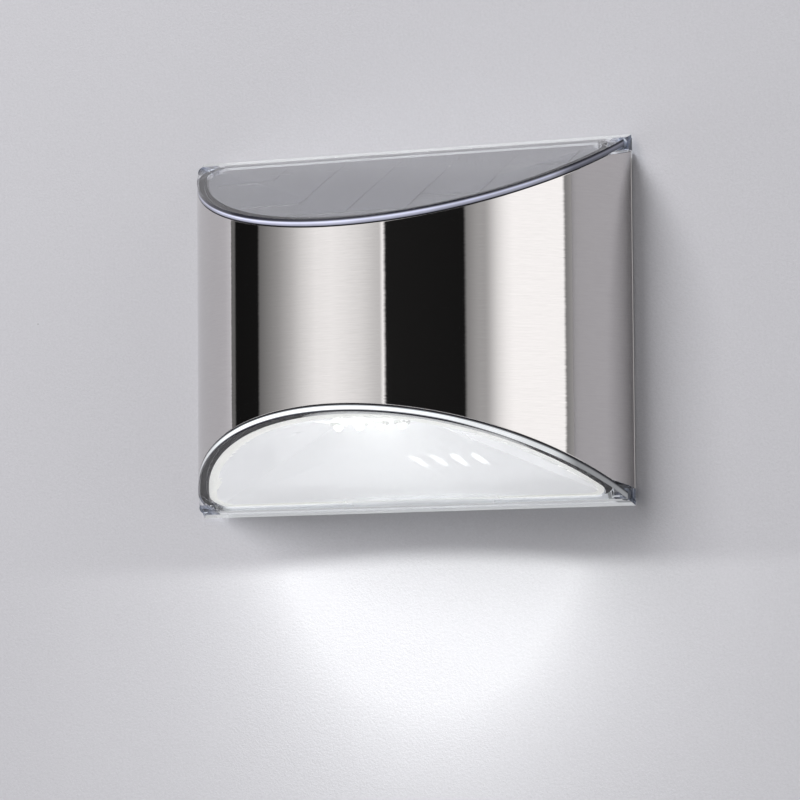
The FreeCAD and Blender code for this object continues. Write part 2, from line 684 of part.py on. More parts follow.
def make_solar_cells():
    """A row of cells, each as deep as the bow leaves room for."""
    cells = []
    for index in range(CELL_COUNT):
        low_x = (index - CELL_COUNT / 2) * cell_pitch + d.cell_slit / 2
        high_x = low_x + cell_pitch - d.cell_slit
        outer = high_x if index >= CELL_COUNT / 2 else -low_x
        cells.append(sloped_block("cell_%d" % (index + 1), (low_x, high_x),
                                  (cell_back, bow_depth(cell_inset, outer)), -panel_top,
                                  d.cell_height - panel_top))
    return group("solar_cells", cells)


def make_cell_ribbons():
    """The ribbons that join each cell to the next."""
    ribbons = []
    depth = cell_back + d.ribbon_length / 2
    for index in range(CELL_COUNT - 1):
        middle = (index + 1 - CELL_COUNT / 2) * cell_pitch
        ribbons.append(sloped_block("ribbon_%d" % (index + 1),
                                    (middle - d.ribbon_length / 2, middle + d.ribbon_length / 2),
                                    (depth, depth + d.ribbon_width),
                                    d.cell_height - panel_top,
                                    d.cell_height - panel_top + d.ribbon_height))
    return group("cell_ribbons", ribbons)


# ---------------------------------------------------------------- the reflector
def lens_plane_wire(inset, back, rise):
    """A D in a plane that lies rise above the steel's bottom edge, as a line and three curves."""
    radius = bow_radius.value - inset
    half = math.sqrt(radius ** 2 - (bow_centre.value + back) ** 2)
    start = math.atan2(-back - bow_centre.value, half)
    sweep = -math.pi - 2 * start
    curves = []

    def spot(angle):
        x = radius * math.cos(angle)
        y = bow_centre.value + radius * math.sin(angle)
        return Vector(x, y, rise - edge_rise.value - slope.value * y)

    # the right side, the front and the left side of the bow, each met by a side of the window
    shares = (0.0, 0.36, 0.64, 1.0)
    spots = 8
    for low, high in zip(shares, shares[1:]):
        steps = [low + (high - low) * step / spots for step in range(spots + 1)]
        curve = Part.BSplineCurve()
        curve.interpolate([spot(start + sweep * share) for share in steps])
        curves.append(curve.toShape())
    curves.append(Part.LineSegment(spot(start + sweep), spot(start)).toShape())
    return Part.Wire(curves)


def window_wire(spread, z):
    """The LED window's outline, let out by spread, in the same order as the D's sides."""
    half = d.window_width.value / 2 + spread
    back = -d.window_back.value + spread
    front = -d.window_front.value - spread
    corners = [Vector(half, back, z), Vector(half, front, z), Vector(-half, front, z),
               Vector(-half, back, z), Vector(half, back, z)]
    return Part.makePolygon(corners)


def make_reflector():
    """A white tray whose sides slant from a D-shaped rim up to the LED window."""
    rise = d.lens_clear.value - d.cover_gap.value
    inset = (rim_inset + d.rim_width).value
    back = (rim_back + d.rim_back_width).value
    window_z = -window_drop.value
    wall = d.tray_wall.value
    spread = d.slant_spread.value
    cavity = Part.makeLoft([lens_plane_wire(inset - spread, back - spread, rise - d.slant_drop.value),
                            window_wire(0, window_z)], True, True)
    cavity = cavity.common(bow_prism(inset, back, d.rim_round.value))
    window = Part.makeBox(d.window_width.value, d.window_front.value - d.window_back.value, 2 * wall,
                          Vector(-d.window_width.value / 2, -d.window_front.value, window_z - wall))
    slanted = Part.makeLoft([lens_plane_wire(inset - wall, back - wall, rise),
                             window_wire(wall, window_z)], True, True)
    frame_half = d.led_board_width.value / 2 + d.led_board_margin.value
    frame = Part.makeBox(2 * frame_half, d.window_front.value - d.window_back.value + 2 * wall, wall,
                         Vector(-frame_half, -d.window_front.value - wall, window_z - wall))
    reach = case_reach.value
    low = rise - edge_rise.value
    high = low + d.rim_height.value
    band = [Vector(-2 * reach, 0, low), Vector(-2 * reach, -reach, low + slope.value * reach),
            Vector(-2 * reach, -reach, high + slope.value * reach), Vector(-2 * reach, 0, high),
            Vector(-2 * reach, 0, low)]
    rim = Part.Face(Part.makePolygon(band)).extrude(Vector(4 * reach, 0, 0))
    tray = rim.fuse([slanted, frame])
    boss_height = d.led_boss.value
    pilot_depth = (d.led_screw_length - d.board_height + d.tip_clear).value
    pilots = []
    for hand in (1, -1):
        middle = Vector(hand * led_screw_spread.value / 2, -window_depth.value, window_z)
        tray = tray.fuse(Part.makeCylinder(d.post_radius.value, boss_height,
                                           middle - Vector(0, 0, boss_height)))
        pilots.append(Part.makeCylinder(d.screw_pilot.value, pilot_depth,
                                        middle - Vector(0, 0, pilot_depth)))
    outline = bow_prism(rim_inset.value, rim_back.value, (d.corner_round - d.skirt_wall).value)
    tray = tray.common(outline).cut([cavity, window] + pilots)
    node = doc.addObject("Part::Feature", "reflector")
    node.Shape = tray.removeSplitter()
    node.Label = "reflector"
    return node


def bow_prism(inset, back, corner):
    """An upright D with rounded corners, taller than the case."""
    radius = bow_radius.value - inset
    centre = bow_centre.value
    turn_x = math.sqrt((radius - corner) ** 2 - (centre + back + corner) ** 2)
    turn_y = -back - corner
    touch = math.atan2(turn_y - centre, turn_x)
    z = -2 * case_reach.value

    def on_bow(angle):
        return Vector(radius * math.cos(angle), centre + radius * math.sin(angle), z)

    def on_corner(hand, angle):
        return Vector(hand * (turn_x + corner * math.cos(angle)),
                      turn_y + corner * math.sin(angle), z)

    halfway = (touch + math.pi / 2) / 2
    right, left = on_bow(touch), on_bow(math.pi - touch)
    edges = [Part.Arc(left, on_bow(-math.pi / 2), right).toShape(),
             Part.Arc(right, on_corner(1, halfway), on_corner(1, math.pi / 2)).toShape(),
             Part.LineSegment(on_corner(1, math.pi / 2), on_corner(-1, math.pi / 2)).toShape(),
             Part.Arc(on_corner(-1, math.pi / 2), on_corner(-1, halfway), left).toShape()]
    return Part.Face(Part.Wire(edges)).extrude(Vector(0, 0, -2 * z))


# ---------------------------------------------------------------- screws and leads
def make_screw(label, axis, seat, out, length):
    """A pan-head screw whose head sits at seat and points to the + or - side of axis."""
    body = new_body(label)
    place = dict(zip("xyz", seat))

    def from_seat(kind, name, start, radius, reach):
        point = dict(place)
        point[axis] = place[axis] + start
        rod(body, name, kind, axis, (point["x"], point["y"], point["z"]), radius, reach)

    from_seat("Additive", label + "_shank", -length if out > 0 else 0, d.screw_radius, length)
    from_seat("Additive", label + "_head", 0 if out > 0 else -d.head_height, d.head_radius,
              d.head_height)
    top = place[axis] + out * d.head_height
    cut = (top - d.cross_depth, top + 1) if out > 0 else (top - 1, top + d.cross_depth)
    others = [letter for letter in "xyz" if letter != axis]
    for long_way, short_way in (others, others[::-1]):
        spans = {axis: cut,
                 long_way: (place[long_way] - d.cross_span / 2, place[long_way] + d.cross_span / 2),
                 short_way: (place[short_way] - d.cross_width / 2,
                             place[short_way] + d.cross_width / 2)}
        block(body, label + "_cross_" + long_way, "Subtractive", spans["x"], spans["y"], spans["z"])
    return body


def make_lead(label, points):
    """A sleeved wire along straight runs joined by arcs; its ends are square to what they meet."""
    corners = [Vector(*[size(value).value for value in point]) for point in points]
    edges = []
    start = corners[0]
    for before, corner, after in zip(corners, corners[1:], corners[2:]):
        into = (corner - before).normalize()
        out = (after - corner).normalize()
        room = 0.45 * min(corner.distanceToPoint(before), corner.distanceToPoint(after))
        half_turn = into.getAngle(out) / 2
        bend = min(d.lead_bend.value, room / math.tan(half_turn))
        back_off = bend * math.tan(half_turn)
        first, last = corner - into * back_off, corner + out * back_off
        centre = corner + (out - into).normalize() * (bend / math.cos(half_turn))
        middle = centre + (corner - centre).normalize() * bend
        edges.append(Part.LineSegment(start, first).toShape())
        edges.append(Part.Arc(first, middle, last).toShape())
        start = last
    edges.append(Part.LineSegment(start, corners[-1]).toShape())
    path = Part.Wire(edges)
    heading = (corners[1] - corners[0]).normalize()
    section = Part.Wire(Part.makeCircle(d.lead_radius.value, corners[0], heading))
    node = doc.addObject("Part::Feature", label)
    node.Shape = path.makePipeShell([section], True, False)
    node.Label = label
    expected = math.pi * d.lead_radius.value ** 2 * path.Length
    print("%s: %.1f mm long, volume %.4f of its section times its length"
          % (label, path.Length, node.Shape.Volume / expected))
    return node


def make_leads():
    """The wires from the panel, the LED board and the cell to the control board."""
    nodes = []
    left_edge = d.switch_x - d.control_width / 2
    right_edge = d.switch_x + d.control_width / 2
    high = d.switch_rise + d.pad_row
    low = d.switch_rise - d.pad_row
    under_panel = (edge_rise - panel_top - d.panel_board
                   - slope * (d.solar_lead_depth + d.lead_radius) - d.contact_clear)
    for label, x, z in (("solar_lead_red", -d.solar_lead_x, high),
                        ("solar_lead_black", -d.solar_lead_x - d.lead_spread, low)):
        nodes.append(make_lead(label, [
            (x, -d.solar_lead_depth, under_panel), (x, -d.solar_lead_depth, z),
            (left_edge + d.pad_edge, -d.solar_lead_depth, z),
            (left_edge + d.pad_edge, -board_face, z)]))
    tab_end = bay_floor + d.bay_wall + d.tab_reach
    loop = tab_end + d.lead_loop
    for label, x, end_x, z in (
            ("battery_lead_red", plus_x + d.contact_sheet / 2, right_edge - d.pad_edge, high),
            ("battery_lead_black", minus_x + d.contact_sheet / 2,
             left_edge + d.pad_edge + d.pad_pitch, low)):
        nodes.append(make_lead(label, [
            (x, -tab_end, d.cell_rise), (x, -loop, d.cell_rise), (x, -loop, z),
            (end_x, -loop, z), (end_x, -board_face, z)]))
    led_top = d.board_height - window_drop
    led_pad = d.led_pad_shift - window_depth
    for label, count in (("led_lead_red", 1), ("led_lead_black", 2)):
        x = right_edge - count * d.pad_pitch
        nodes.append(make_lead(label, [(x, led_pad, led_top), (x, led_pad, low),
                                       (x, -board_face, low)]))
    return nodes


# ---------------------------------------------------------------- the lamp
def make_foam():
    body = make_panel_sheet("panel_foam", panel_inset + d.foam_inset, panel_back + d.foam_inset,
                            -ring_drop, -panel_top - d.panel_board, d.panel_round)
    for name, x in (("red_way", -d.solar_lead_x), ("black_way", -d.solar_lead_x - d.lead_spread)):
        rod(body, name, "Subtractive", "z", (x, -d.solar_lead_depth, 0), d.lead_hole, edge_rise)
    return body


def make_led_board():
    body = new_body("led_board")
    edge = d.tray_wall - d.led_board_margin
    block(body, "led_board_blank", "Additive", (-d.led_board_width / 2, d.led_board_width / 2),
          (-d.window_front - edge, edge - d.window_back),
          (-window_drop, d.board_height - window_drop))
    for hand, word in ((1, "right"), (-1, "left")):
        rod(body, word + "_led_hole", "Subtractive", "z",
            (hand * led_screw_spread / 2, -window_depth, -window_drop - 1), d.screw_free,
            d.board_height + 2)
    return body


def make_leds():
    """A row of LEDs under the board, each a square case with a dome."""
    leds = []
    for index in range(LED_COUNT):
        x = (index - (LED_COUNT - 1) / 2) * d.led_pitch
        body = new_body("led_%d" % (index + 1))
        block(body, "led_case_%d" % (index + 1), "Additive",
              (x - d.led_side / 2, x + d.led_side / 2),
              (-window_depth - d.led_side / 2, d.led_side / 2 - window_depth),
              (-window_drop - d.led_height, -window_drop))
        dome = body.newObject("PartDesign::AdditiveSphere", "led_dome_%d" % (index + 1))
        dome.Angle1 = -90
        dome.Angle2 = 0
        bind(dome, "Radius", d.led_dome)
        for letter, value in zip("xyz", (x, -window_depth, -window_drop - d.led_height)):
            bind(dome, "Placement.Base." + letter, value)
        leds.append(body)
    return group("leds", leds)


# ---------------------------------------------------------------- the control board
def make_control_board():
    body = new_body("control_board")
    x, z = d.switch_x, d.switch_rise
    block(body, "control_blank", "Additive", (x - d.control_width / 2, x + d.control_width / 2),
          (-board_face, -board_depth), (z - d.control_height / 2, z + d.control_height / 2))
    for hand, word in ((1, "right"), (-1, "left")):
        rod(body, word + "_control_hole", "Subtractive", "y",
            (x + hand * post_spread, -board_face - 1, z), d.screw_free, d.board_height + 2)
    for index in (-1, 0, 1):
        rod(body, "pin_hole_%d" % (index + 2), "Subtractive", "y",
            (x + index * d.pin_pitch, -board_face - 1, z), d.pin_radius + d.pin_clear,
            d.board_height + 2)
    return body


def make_chip():
    body = new_body("controller_chip")
    x, z = d.switch_x + d.chip_x, d.switch_rise + d.chip_z
    foot = board_face + d.chip_standoff
    block(body, "chip_case", "Additive", (x - d.chip_length / 2, x + d.chip_length / 2),
          (-foot - d.chip_height, -foot), (z - d.chip_width / 2, z + d.chip_width / 2))
    for index in range(4):
        leg = x + (index - 1.5) * d.chip_leg_pitch
        half = d.chip_width / 2 + d.chip_leg_reach
        block(body, "chip_leg_%d" % (index + 1), "Additive",
              (leg - d.chip_leg / 2, leg + d.chip_leg / 2), (-foot - d.chip_leg / 2, -board_face),
              (z - half, z + half))
    return body


def make_inductor():
    """A drum core on the board, and the winding round its waist."""
    x, z = d.switch_x + d.choke_x, d.switch_rise + d.choke_z
    core = new_body("inductor_core")
    rod(core, "drum_waist", "Additive", "y", (x, -board_face - d.choke_height, z), d.choke_core,
        d.choke_height)
    for name, start in (("drum_foot", d.choke_flange), ("drum_top", d.choke_height)):
        rod(core, name, "Additive", "y", (x, -board_face - start, z), d.choke_radius, d.choke_flange)
    coil = new_body("inductor_coil")
    start = -board_face - d.choke_height + d.choke_flange
    reach = d.choke_height - 2 * d.choke_flange
    rod(coil, "coil_outside", "Additive", "y", (x, start, z), d.coil_radius, reach)
    rod(coil, "coil_inside", "Subtractive", "y", (x, start, z), d.choke_core, reach)
    return [core, coil]


def make_capacitor():
    body = new_body("capacitor")
    x, z = d.switch_x + d.capacitor_x, d.switch_rise + d.capacitor_z
    rod(body, "capacitor_can", "Additive", "y", (x, -board_face - d.capacitor_height, z),
        d.capacitor_radius, d.capacitor_height)
    return body


def make_resistor():
    body = new_body("resistor")
    x, z = d.switch_x + d.resistor_x, d.switch_rise + d.resistor_z
    lie = board_face + d.resistor_radius
    half = d.resistor_length / 2
    reach = half + d.resistor_wire_reach
    rod(body, "resistor_case", "Additive", "x", (x - half, -lie, z), d.resistor_radius, 2 * half)
    rod(body, "resistor_run", "Additive", "x", (x - reach, -lie, z), d.resistor_wire, 2 * reach)
    for hand, word in ((1, "right"), (-1, "left")):
        rod(body, word + "_resistor_leg", "Additive", "y",
            (x + hand * (reach - d.resistor_wire), -lie, z), d.resistor_wire, d.resistor_radius)
    return body


# ---------------------------------------------------------------- the slide switch
def make_switch_body():
    """The switch's case, with the slider's room, its slot and three pins into the board."""
    body = new_body("switch_body")
    x, z = d.switch_x, d.switch_rise
    block(body, "switch_case", "Additive", (x - d.switch_length / 2, x + d.switch_length / 2),
          (-board_depth, -d.back_wall), (z - d.switch_width / 2, z + d.switch_width / 2))
    half = (d.foot_length + d.switch_travel) / 2 + d.foot_clear
    rise = d.foot_width / 2 + d.foot_clear
    block(body, "slider_room", "Subtractive", (x - half, x + half),
          (-foot_face - d.foot_height - d.foot_clear, d.foot_clear - foot_face),
          (z - rise, z + rise))
    block(body, "case_slot", "Subtractive", (x - slot_half, x + slot_half), (-foot_face, 0),
          (z - slot_rise, z + slot_rise))
    for index in (-1, 0, 1):
        rod(body, "pin_%d" % (index + 2), "Additive", "y",
            (x + index * d.pin_pitch, -board_face - d.pin_radius, z), d.pin_radius,
            d.board_height + 2 * d.pin_radius)
    return body


def make_switch_slider():
    """The slider at its on end: a foot in the case and a ribbed knob in the finger recess."""
    body = new_body("switch_slider")
    z = d.switch_rise
    block(body, "slider_foot", "Additive",
          (slider_x - d.foot_length / 2, slider_x + d.foot_length / 2),
          (-foot_face - d.foot_height, -foot_face), (z - d.foot_width / 2, z + d.foot_width / 2))
    block(body, "slider_knob", "Additive",
          (slider_x - d.knob_length / 2, slider_x + d.knob_length / 2),
          (-foot_face, -d.knob_recess), (z - d.knob_width / 2, z + d.knob_width / 2))
    for index in (-1, 0, 1):
        groove = slider_x + index * d.groove_pitch
        block(body, "knob_groove_%d" % (index + 2), "Subtractive",
              (groove - d.groove_width / 2, groove + d.groove_width / 2),
              (-d.knob_recess - d.groove_depth, 0), (z - d.knob_width, z + d.knob_width))
    return body


# ---------------------------------------------------------------- the battery
def make_battery():
    body = new_body("battery")
    left = d.cell_shift - d.cell_length / 2
    rod(body, "cell_can", "Additive", "x", (left, -d.cell_depth, d.cell_rise), d.cell_diameter / 2,
        d.cell_length - d.nub_length)
    rod(body, "cell_nub", "Additive", "x",
        (left + d.cell_length - d.nub_length, -d.cell_depth, d.cell_rise), d.nub_radius, d.nub_length)
    return body


def make_contact(label, low_x):
    """A sprung plate at the end of the bay, with a solder tab through the bay's floor."""
    body = new_body(label)
    half = d.contact_side / 2
    block(body, label + "_plate", "Additive", (low_x, low_x + d.contact_sheet),
          (-d.cell_depth - half, half - d.cell_depth), (d.cell_rise - half, d.cell_rise + half))
    block(body, label + "_tab", "Additive", (low_x, low_x + d.contact_sheet),
          (-bay_floor - d.bay_wall - d.tab_reach, -d.cell_depth),
          (d.cell_rise - d.tab_width / 2, d.cell_rise + d.tab_width / 2))
    return body


def make_battery_spring():
    """A tapered spring from the plate to the cell, its path made of quarter turns."""
    start = (bay_left + d.contact_clear + d.contact_sheet + d.spring_wire / 2 + d.contact_clear).value
    finish = (d.cell_shift - d.cell_length / 2 - d.spring_wire / 2 - d.contact_clear).value
    large, small = d.spring_large.value, d.spring_small.value

    def spot(turn):
        share = turn / SPRING_TURNS
        radius = large + (small - large) * share
        angle = 2 * math.pi * turn
        return Vector(start + (finish - start) * share,
                      radius * math.cos(angle) - d.cell_depth.value,
                      radius * math.sin(angle) + d.cell_rise.value)

    arcs = [Part.Arc(spot(quarter / 4), spot(quarter / 4 + 0.125), spot(quarter / 4 + 0.25)).toShape()
            for quarter in range(4 * SPRING_TURNS)]
    path = Part.Wire(arcs)
    heading = spot(0.01) - spot(0)
    section = Part.Wire(Part.makeCircle(d.spring_wire.value / 2, spot(0), heading))
    node = doc.addObject("Part::Feature", "battery_spring")
    node.Shape = path.makePipeShell([section], True, False)
    node.Label = "battery_spring"
    gap = (finish - start) / SPRING_TURNS - d.spring_wire.value
    print("battery_spring: %d turns, least gap %.2f mm" % (SPRING_TURNS, gap))
    return node


# ---------------------------------------------------------------- the battery door
def make_battery_door():
    body = new_body("battery_door")
    block(body, "door_blank", "Additive", (door_left + d.door_clear, door_right - d.door_clear),
          (-door_face, -d.door_recess),
          (bay_low - d.door_margin_z + d.door_clear, bay_high + d.door_margin_z - d.door_clear))
    for word, x in zip(("left", "right"), door_screws_x):
        rod(body, word + "_free_hole", "Subtractive", "y", (x, -door_face - 1, d.cell_rise),
            d.screw_free, door_face + 2)
        rod(body, word + "_head_seat", "Subtractive", "y",
            (x, -d.door_recess - d.head_height, d.cell_rise),
            d.head_radius + d.screw_free - d.screw_radius, 2 * d.head_height)
    return body


def make_door_seal():
    body = new_body("door_seal")
    inner, outer = d.door_seal_inset, d.door_seal_inset + d.door_seal_width
    depth = (-door_face - d.door_seal_height + d.door_seat, -door_face)
    block(body, "seal_outer", "Additive", (bay_left - outer, bay_right + outer), depth,
          (bay_low - outer, bay_high + outer))
    block(body, "seal_inner", "Subtractive", (bay_left - inner, bay_right + inner), depth,
          (bay_low - inner, bay_high + inner))
    return body


def make_door_screws():
    seat = -d.door_recess - d.head_height
    return group("door_screws", [make_screw(word + "_door_screw", "y", (x, seat, d.cell_rise), 1,
                                            d.screw_length)
                                 for word, x in zip(("left", "right"), door_screws_x)])


def make_board_screws():
    screws = [make_screw(word + "_board_screw", "y",
                         (d.switch_x + hand * post_spread, -board_face, d.switch_rise), -1,
                         d.screw_length)
              for hand, word in ((1, "right"), (-1, "left"))]
    return group("control_board_screws", screws)


def make_led_screws():
    screws = [make_screw(word + "_led_screw", "z",
                         (hand * led_screw_spread / 2, -window_depth, d.board_height - window_drop),
                         1, d.led_screw_length)
              for hand, word in ((1, "right"), (-1, "left"))]
    return group("led_board_screws", screws)


# ---------------------------------------------------------------- the whole lamp
nodes = [make_steel_shell(), make_cover("top_cover", 1), make_cover("bottom_lens", -1),
         make_seal("top_seal", 1), make_seal("bottom_seal", -1), make_inner_housing(),
         make_panel_sheet("solar_board", panel_inset, panel_back, -panel_top - d.panel_board,
                          -panel_top, d.panel_round),
         make_solar_cells(), make_cell_ribbons(), make_foam(), make_reflector(), make_led_board(),
         make_leds(), make_led_screws(), make_control_board(), make_board_screws(),
         make_chip(), make_capacitor(), make_resistor(), make_switch_body(), make_switch_slider(),
         make_battery(), make_contact("battery_plus_contact", plus_x),
         make_contact("battery_minus_contact", minus_x), make_battery_spring(), make_battery_door(),
         make_door_seal(), make_door_screws()]
nodes += make_inductor()
nodes += make_leads()
doc.recompute()

for thing in doc.Objects:
    if "Invalid" in thing.State or "Error" in thing.State:
        raise RuntimeError("%s did not compute: %s" % (thing.Label, thing.State))
for node in nodes:
    if node.Shape.isNull() or not node.Shape.isValid():
        raise RuntimeError(node.Label + " has no valid shape")

os.makedirs("parts", exist_ok=True)
for node in nodes:
    node.Shape.exportStep("parts/%s.step" % node.Label)
    print("%-24s %2d solids %10.2f mm3" % (node.Label, len(node.Shape.Solids), node.Shape.Volume))
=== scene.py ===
import json
import math

import bmesh
import bpy
from bpy.props import FloatProperty, FloatVectorProperty, PointerProperty
from bpy.types import Operator, Panel, PropertyGroup
from mathutils import Matrix, Vector


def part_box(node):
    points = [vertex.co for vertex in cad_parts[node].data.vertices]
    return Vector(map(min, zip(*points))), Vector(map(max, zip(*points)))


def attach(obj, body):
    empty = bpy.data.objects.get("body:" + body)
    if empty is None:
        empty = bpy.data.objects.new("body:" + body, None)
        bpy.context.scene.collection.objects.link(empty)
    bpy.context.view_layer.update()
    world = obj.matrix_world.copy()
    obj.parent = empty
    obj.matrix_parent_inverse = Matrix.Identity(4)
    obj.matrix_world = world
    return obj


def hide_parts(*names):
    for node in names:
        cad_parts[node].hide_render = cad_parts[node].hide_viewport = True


bl_info = {
    "name": "Solar fence light",
    "version": (1, 0, 0),
    "blender": (4, 5, 0),
    "location": "3D View > Sidebar > Fence light",
    "description": "Dresses the packed fence light and sets it against a pale wall in a plain studio",
    "category": "Add Mesh",
}

# Metres. Origin: middle of the wall face. +X right, +Y into the wall, +Z up.
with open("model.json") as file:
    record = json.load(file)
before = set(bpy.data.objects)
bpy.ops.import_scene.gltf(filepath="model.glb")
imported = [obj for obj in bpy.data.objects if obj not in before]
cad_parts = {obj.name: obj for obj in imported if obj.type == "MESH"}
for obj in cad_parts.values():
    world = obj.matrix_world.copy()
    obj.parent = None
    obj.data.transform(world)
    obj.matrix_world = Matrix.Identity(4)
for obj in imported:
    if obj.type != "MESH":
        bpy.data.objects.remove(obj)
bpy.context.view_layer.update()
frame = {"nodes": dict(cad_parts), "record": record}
MM = 0.001
UP = Vector((0, 0, 1))


# ---------------------------------------------------------------- what a user would change
def length(name, description, default):
    return FloatProperty(name=name, description=description, default=default * MM, unit="LENGTH",
                         precision=5)


def amount(name, description, default, **settings):
    return FloatProperty(name=name, description=description, default=default, min=0.0, **settings)


def power(name, description, default):
    return amount(name, description, default, unit="POWER", precision=4)


def colour(name, description, default):
    return FloatVectorProperty(name=name, description=description, default=default,
                               subtype="COLOR", size=3, min=0.0, max=1.0)


class FenceLightSizes(PropertyGroup):
    """Sizes of the visible pieces that the case's own box doesn't give."""
    wall_height: length("Height at the wall", "Height of the steel's end planes at the wall", 88.5)
    front_height: length("Height at the front", "Height of the steel at the bow's middle", 43.4)
    steel_wall: length("Steel", "Thickness of the steel sheet", 0.6)
    steel_round: length("Steel edge", "Rounding of the steel's edges", 0.16)
    relief_drop: length("Relief", "How far the steel's corners are lowered at the wall", 2.2)
    relief_run: length("Relief run", "Depth over which the relief runs out", 8.5)
    cover_gap: length("Seam", "Seam between the steel and a cover", 0.25)
    cover_plate: length("Cover plate", "Thickness of a cover's plate", 1.75)
    cover_round: length("Cover edge", "Rounding of a cover's edges", 0.22)
    skirt_inset: length("Skirt inset", "How far inside the steel's face the skirt stands", 0.75)
    skirt_wall: length("Skirt wall", "Thickness of a cover's skirt", 2.0)
    skirt_drop: length("Skirt drop", "Reach of the skirt past the steel's edge", 2.7)
    skirt_back: length("Skirt back", "Depth of the skirt's back face", 0.7)
    corner_round: length("Corner", "Corner radius of the skirt", 6.0)
    lug_width: length("Lug width", "Width of a corner lug", 4.9)
    lug_depth: length("Lug depth", "Depth of a corner lug", 2.5)
    lug_drop: length("Lug drop", "Reach of a lug past the steel's end plane", 2.15)
    boss_radius: length("Boss", "Radius of the boss on a lug", 1.5)
    rim_depth: length("Rim", "Depth of the reflector's flat rim", 0.35)
    eased: length("Eased edge", "Rounding of the moulded pieces' edges", 0.15)


class FenceLightColours(PropertyGroup):
    """Colours of the finishes."""
    steel: colour("Steel", "Brushed stainless steel", (0.635, 0.612, 0.605))
    clear: colour("Clear plastic", "Polished clear covers", (0.97, 0.98, 1.0))
    # The top and lens edge colours are painted light: the pale lines of light gathered in the covers'
    # edges
    top_edge: colour("Cover edge", "Edge of the top cover, which gathers light", (0.76, 0.78, 0.98))
    lens_edge: colour("Lens edge", "Edge of the lens, lit by the LEDs", (0.94, 0.97, 1.0))
    # The lugs' colour is painted reflection: the dark surroundings seen through the thick clear plastic
    lug: colour("Lugs", "Corner lugs, which show what is behind them", (0.22, 0.25, 0.34))
    reflector: colour("Reflector", "Glossy white tray", (0.77, 0.765, 0.755))
    rim: colour("Reflector rim", "Flat rim of the tray", (0.90, 0.89, 0.80))
    housing: colour("Housing", "Black moulded housing", (0.035, 0.035, 0.037))
    laminate: colour("Panel", "Laminate of the solar panel", (0.024, 0.024, 0.027))
    silicon: colour("Silicon", "Solar cells", (0.026, 0.026, 0.031))
    glow: colour("Glow", "Light of the LEDs", (0.95, 1.0, 0.98))
    beam: colour("Beam", "Light of the LEDs on the wall", (0.99, 0.99, 0.93))
    wall: colour("Wall", "Pale wall behind the light", (0.54, 0.535, 0.565))
    floor: colour("Floor", "Pale floor", (0.80, 0.80, 0.81))


class FenceLightStudio(PropertyGroup):
    """The studio's light."""
    led_strength: amount("LEDs", "Strength of the lit domes", 30.0)
    tray_glow: amount("Tray glow", "How much the LEDs make the tray glow", 0.3)
    key_power: power("Key light", "Power of the soft key light", 62.0)
    beam_power: power("Beam", "Power of the light on the wall", 0.066)
    fill_power: power("Tray fill", "Power of the soft light into the tray", 0.7)
    inner_power: power("LED light", "Power of the LEDs' light in the tray", 0.0016)
    glint_power: power("Glints", "Power of each LED's spot on the tray", 0.03)


def sizes():
    return bpy.context.scene.fence_light_sizes


def studio():
    return bpy.context.scene.fence_light_studio


def tint_of(name):
    """One of the add-on's colours, as a plain tuple."""
    return tuple(getattr(bpy.context.scene.fence_light_colours, name))


def shade(tint, share):
    """A colour made lighter or darker."""
    return tuple(min(1.0, part * share) for part in tint)


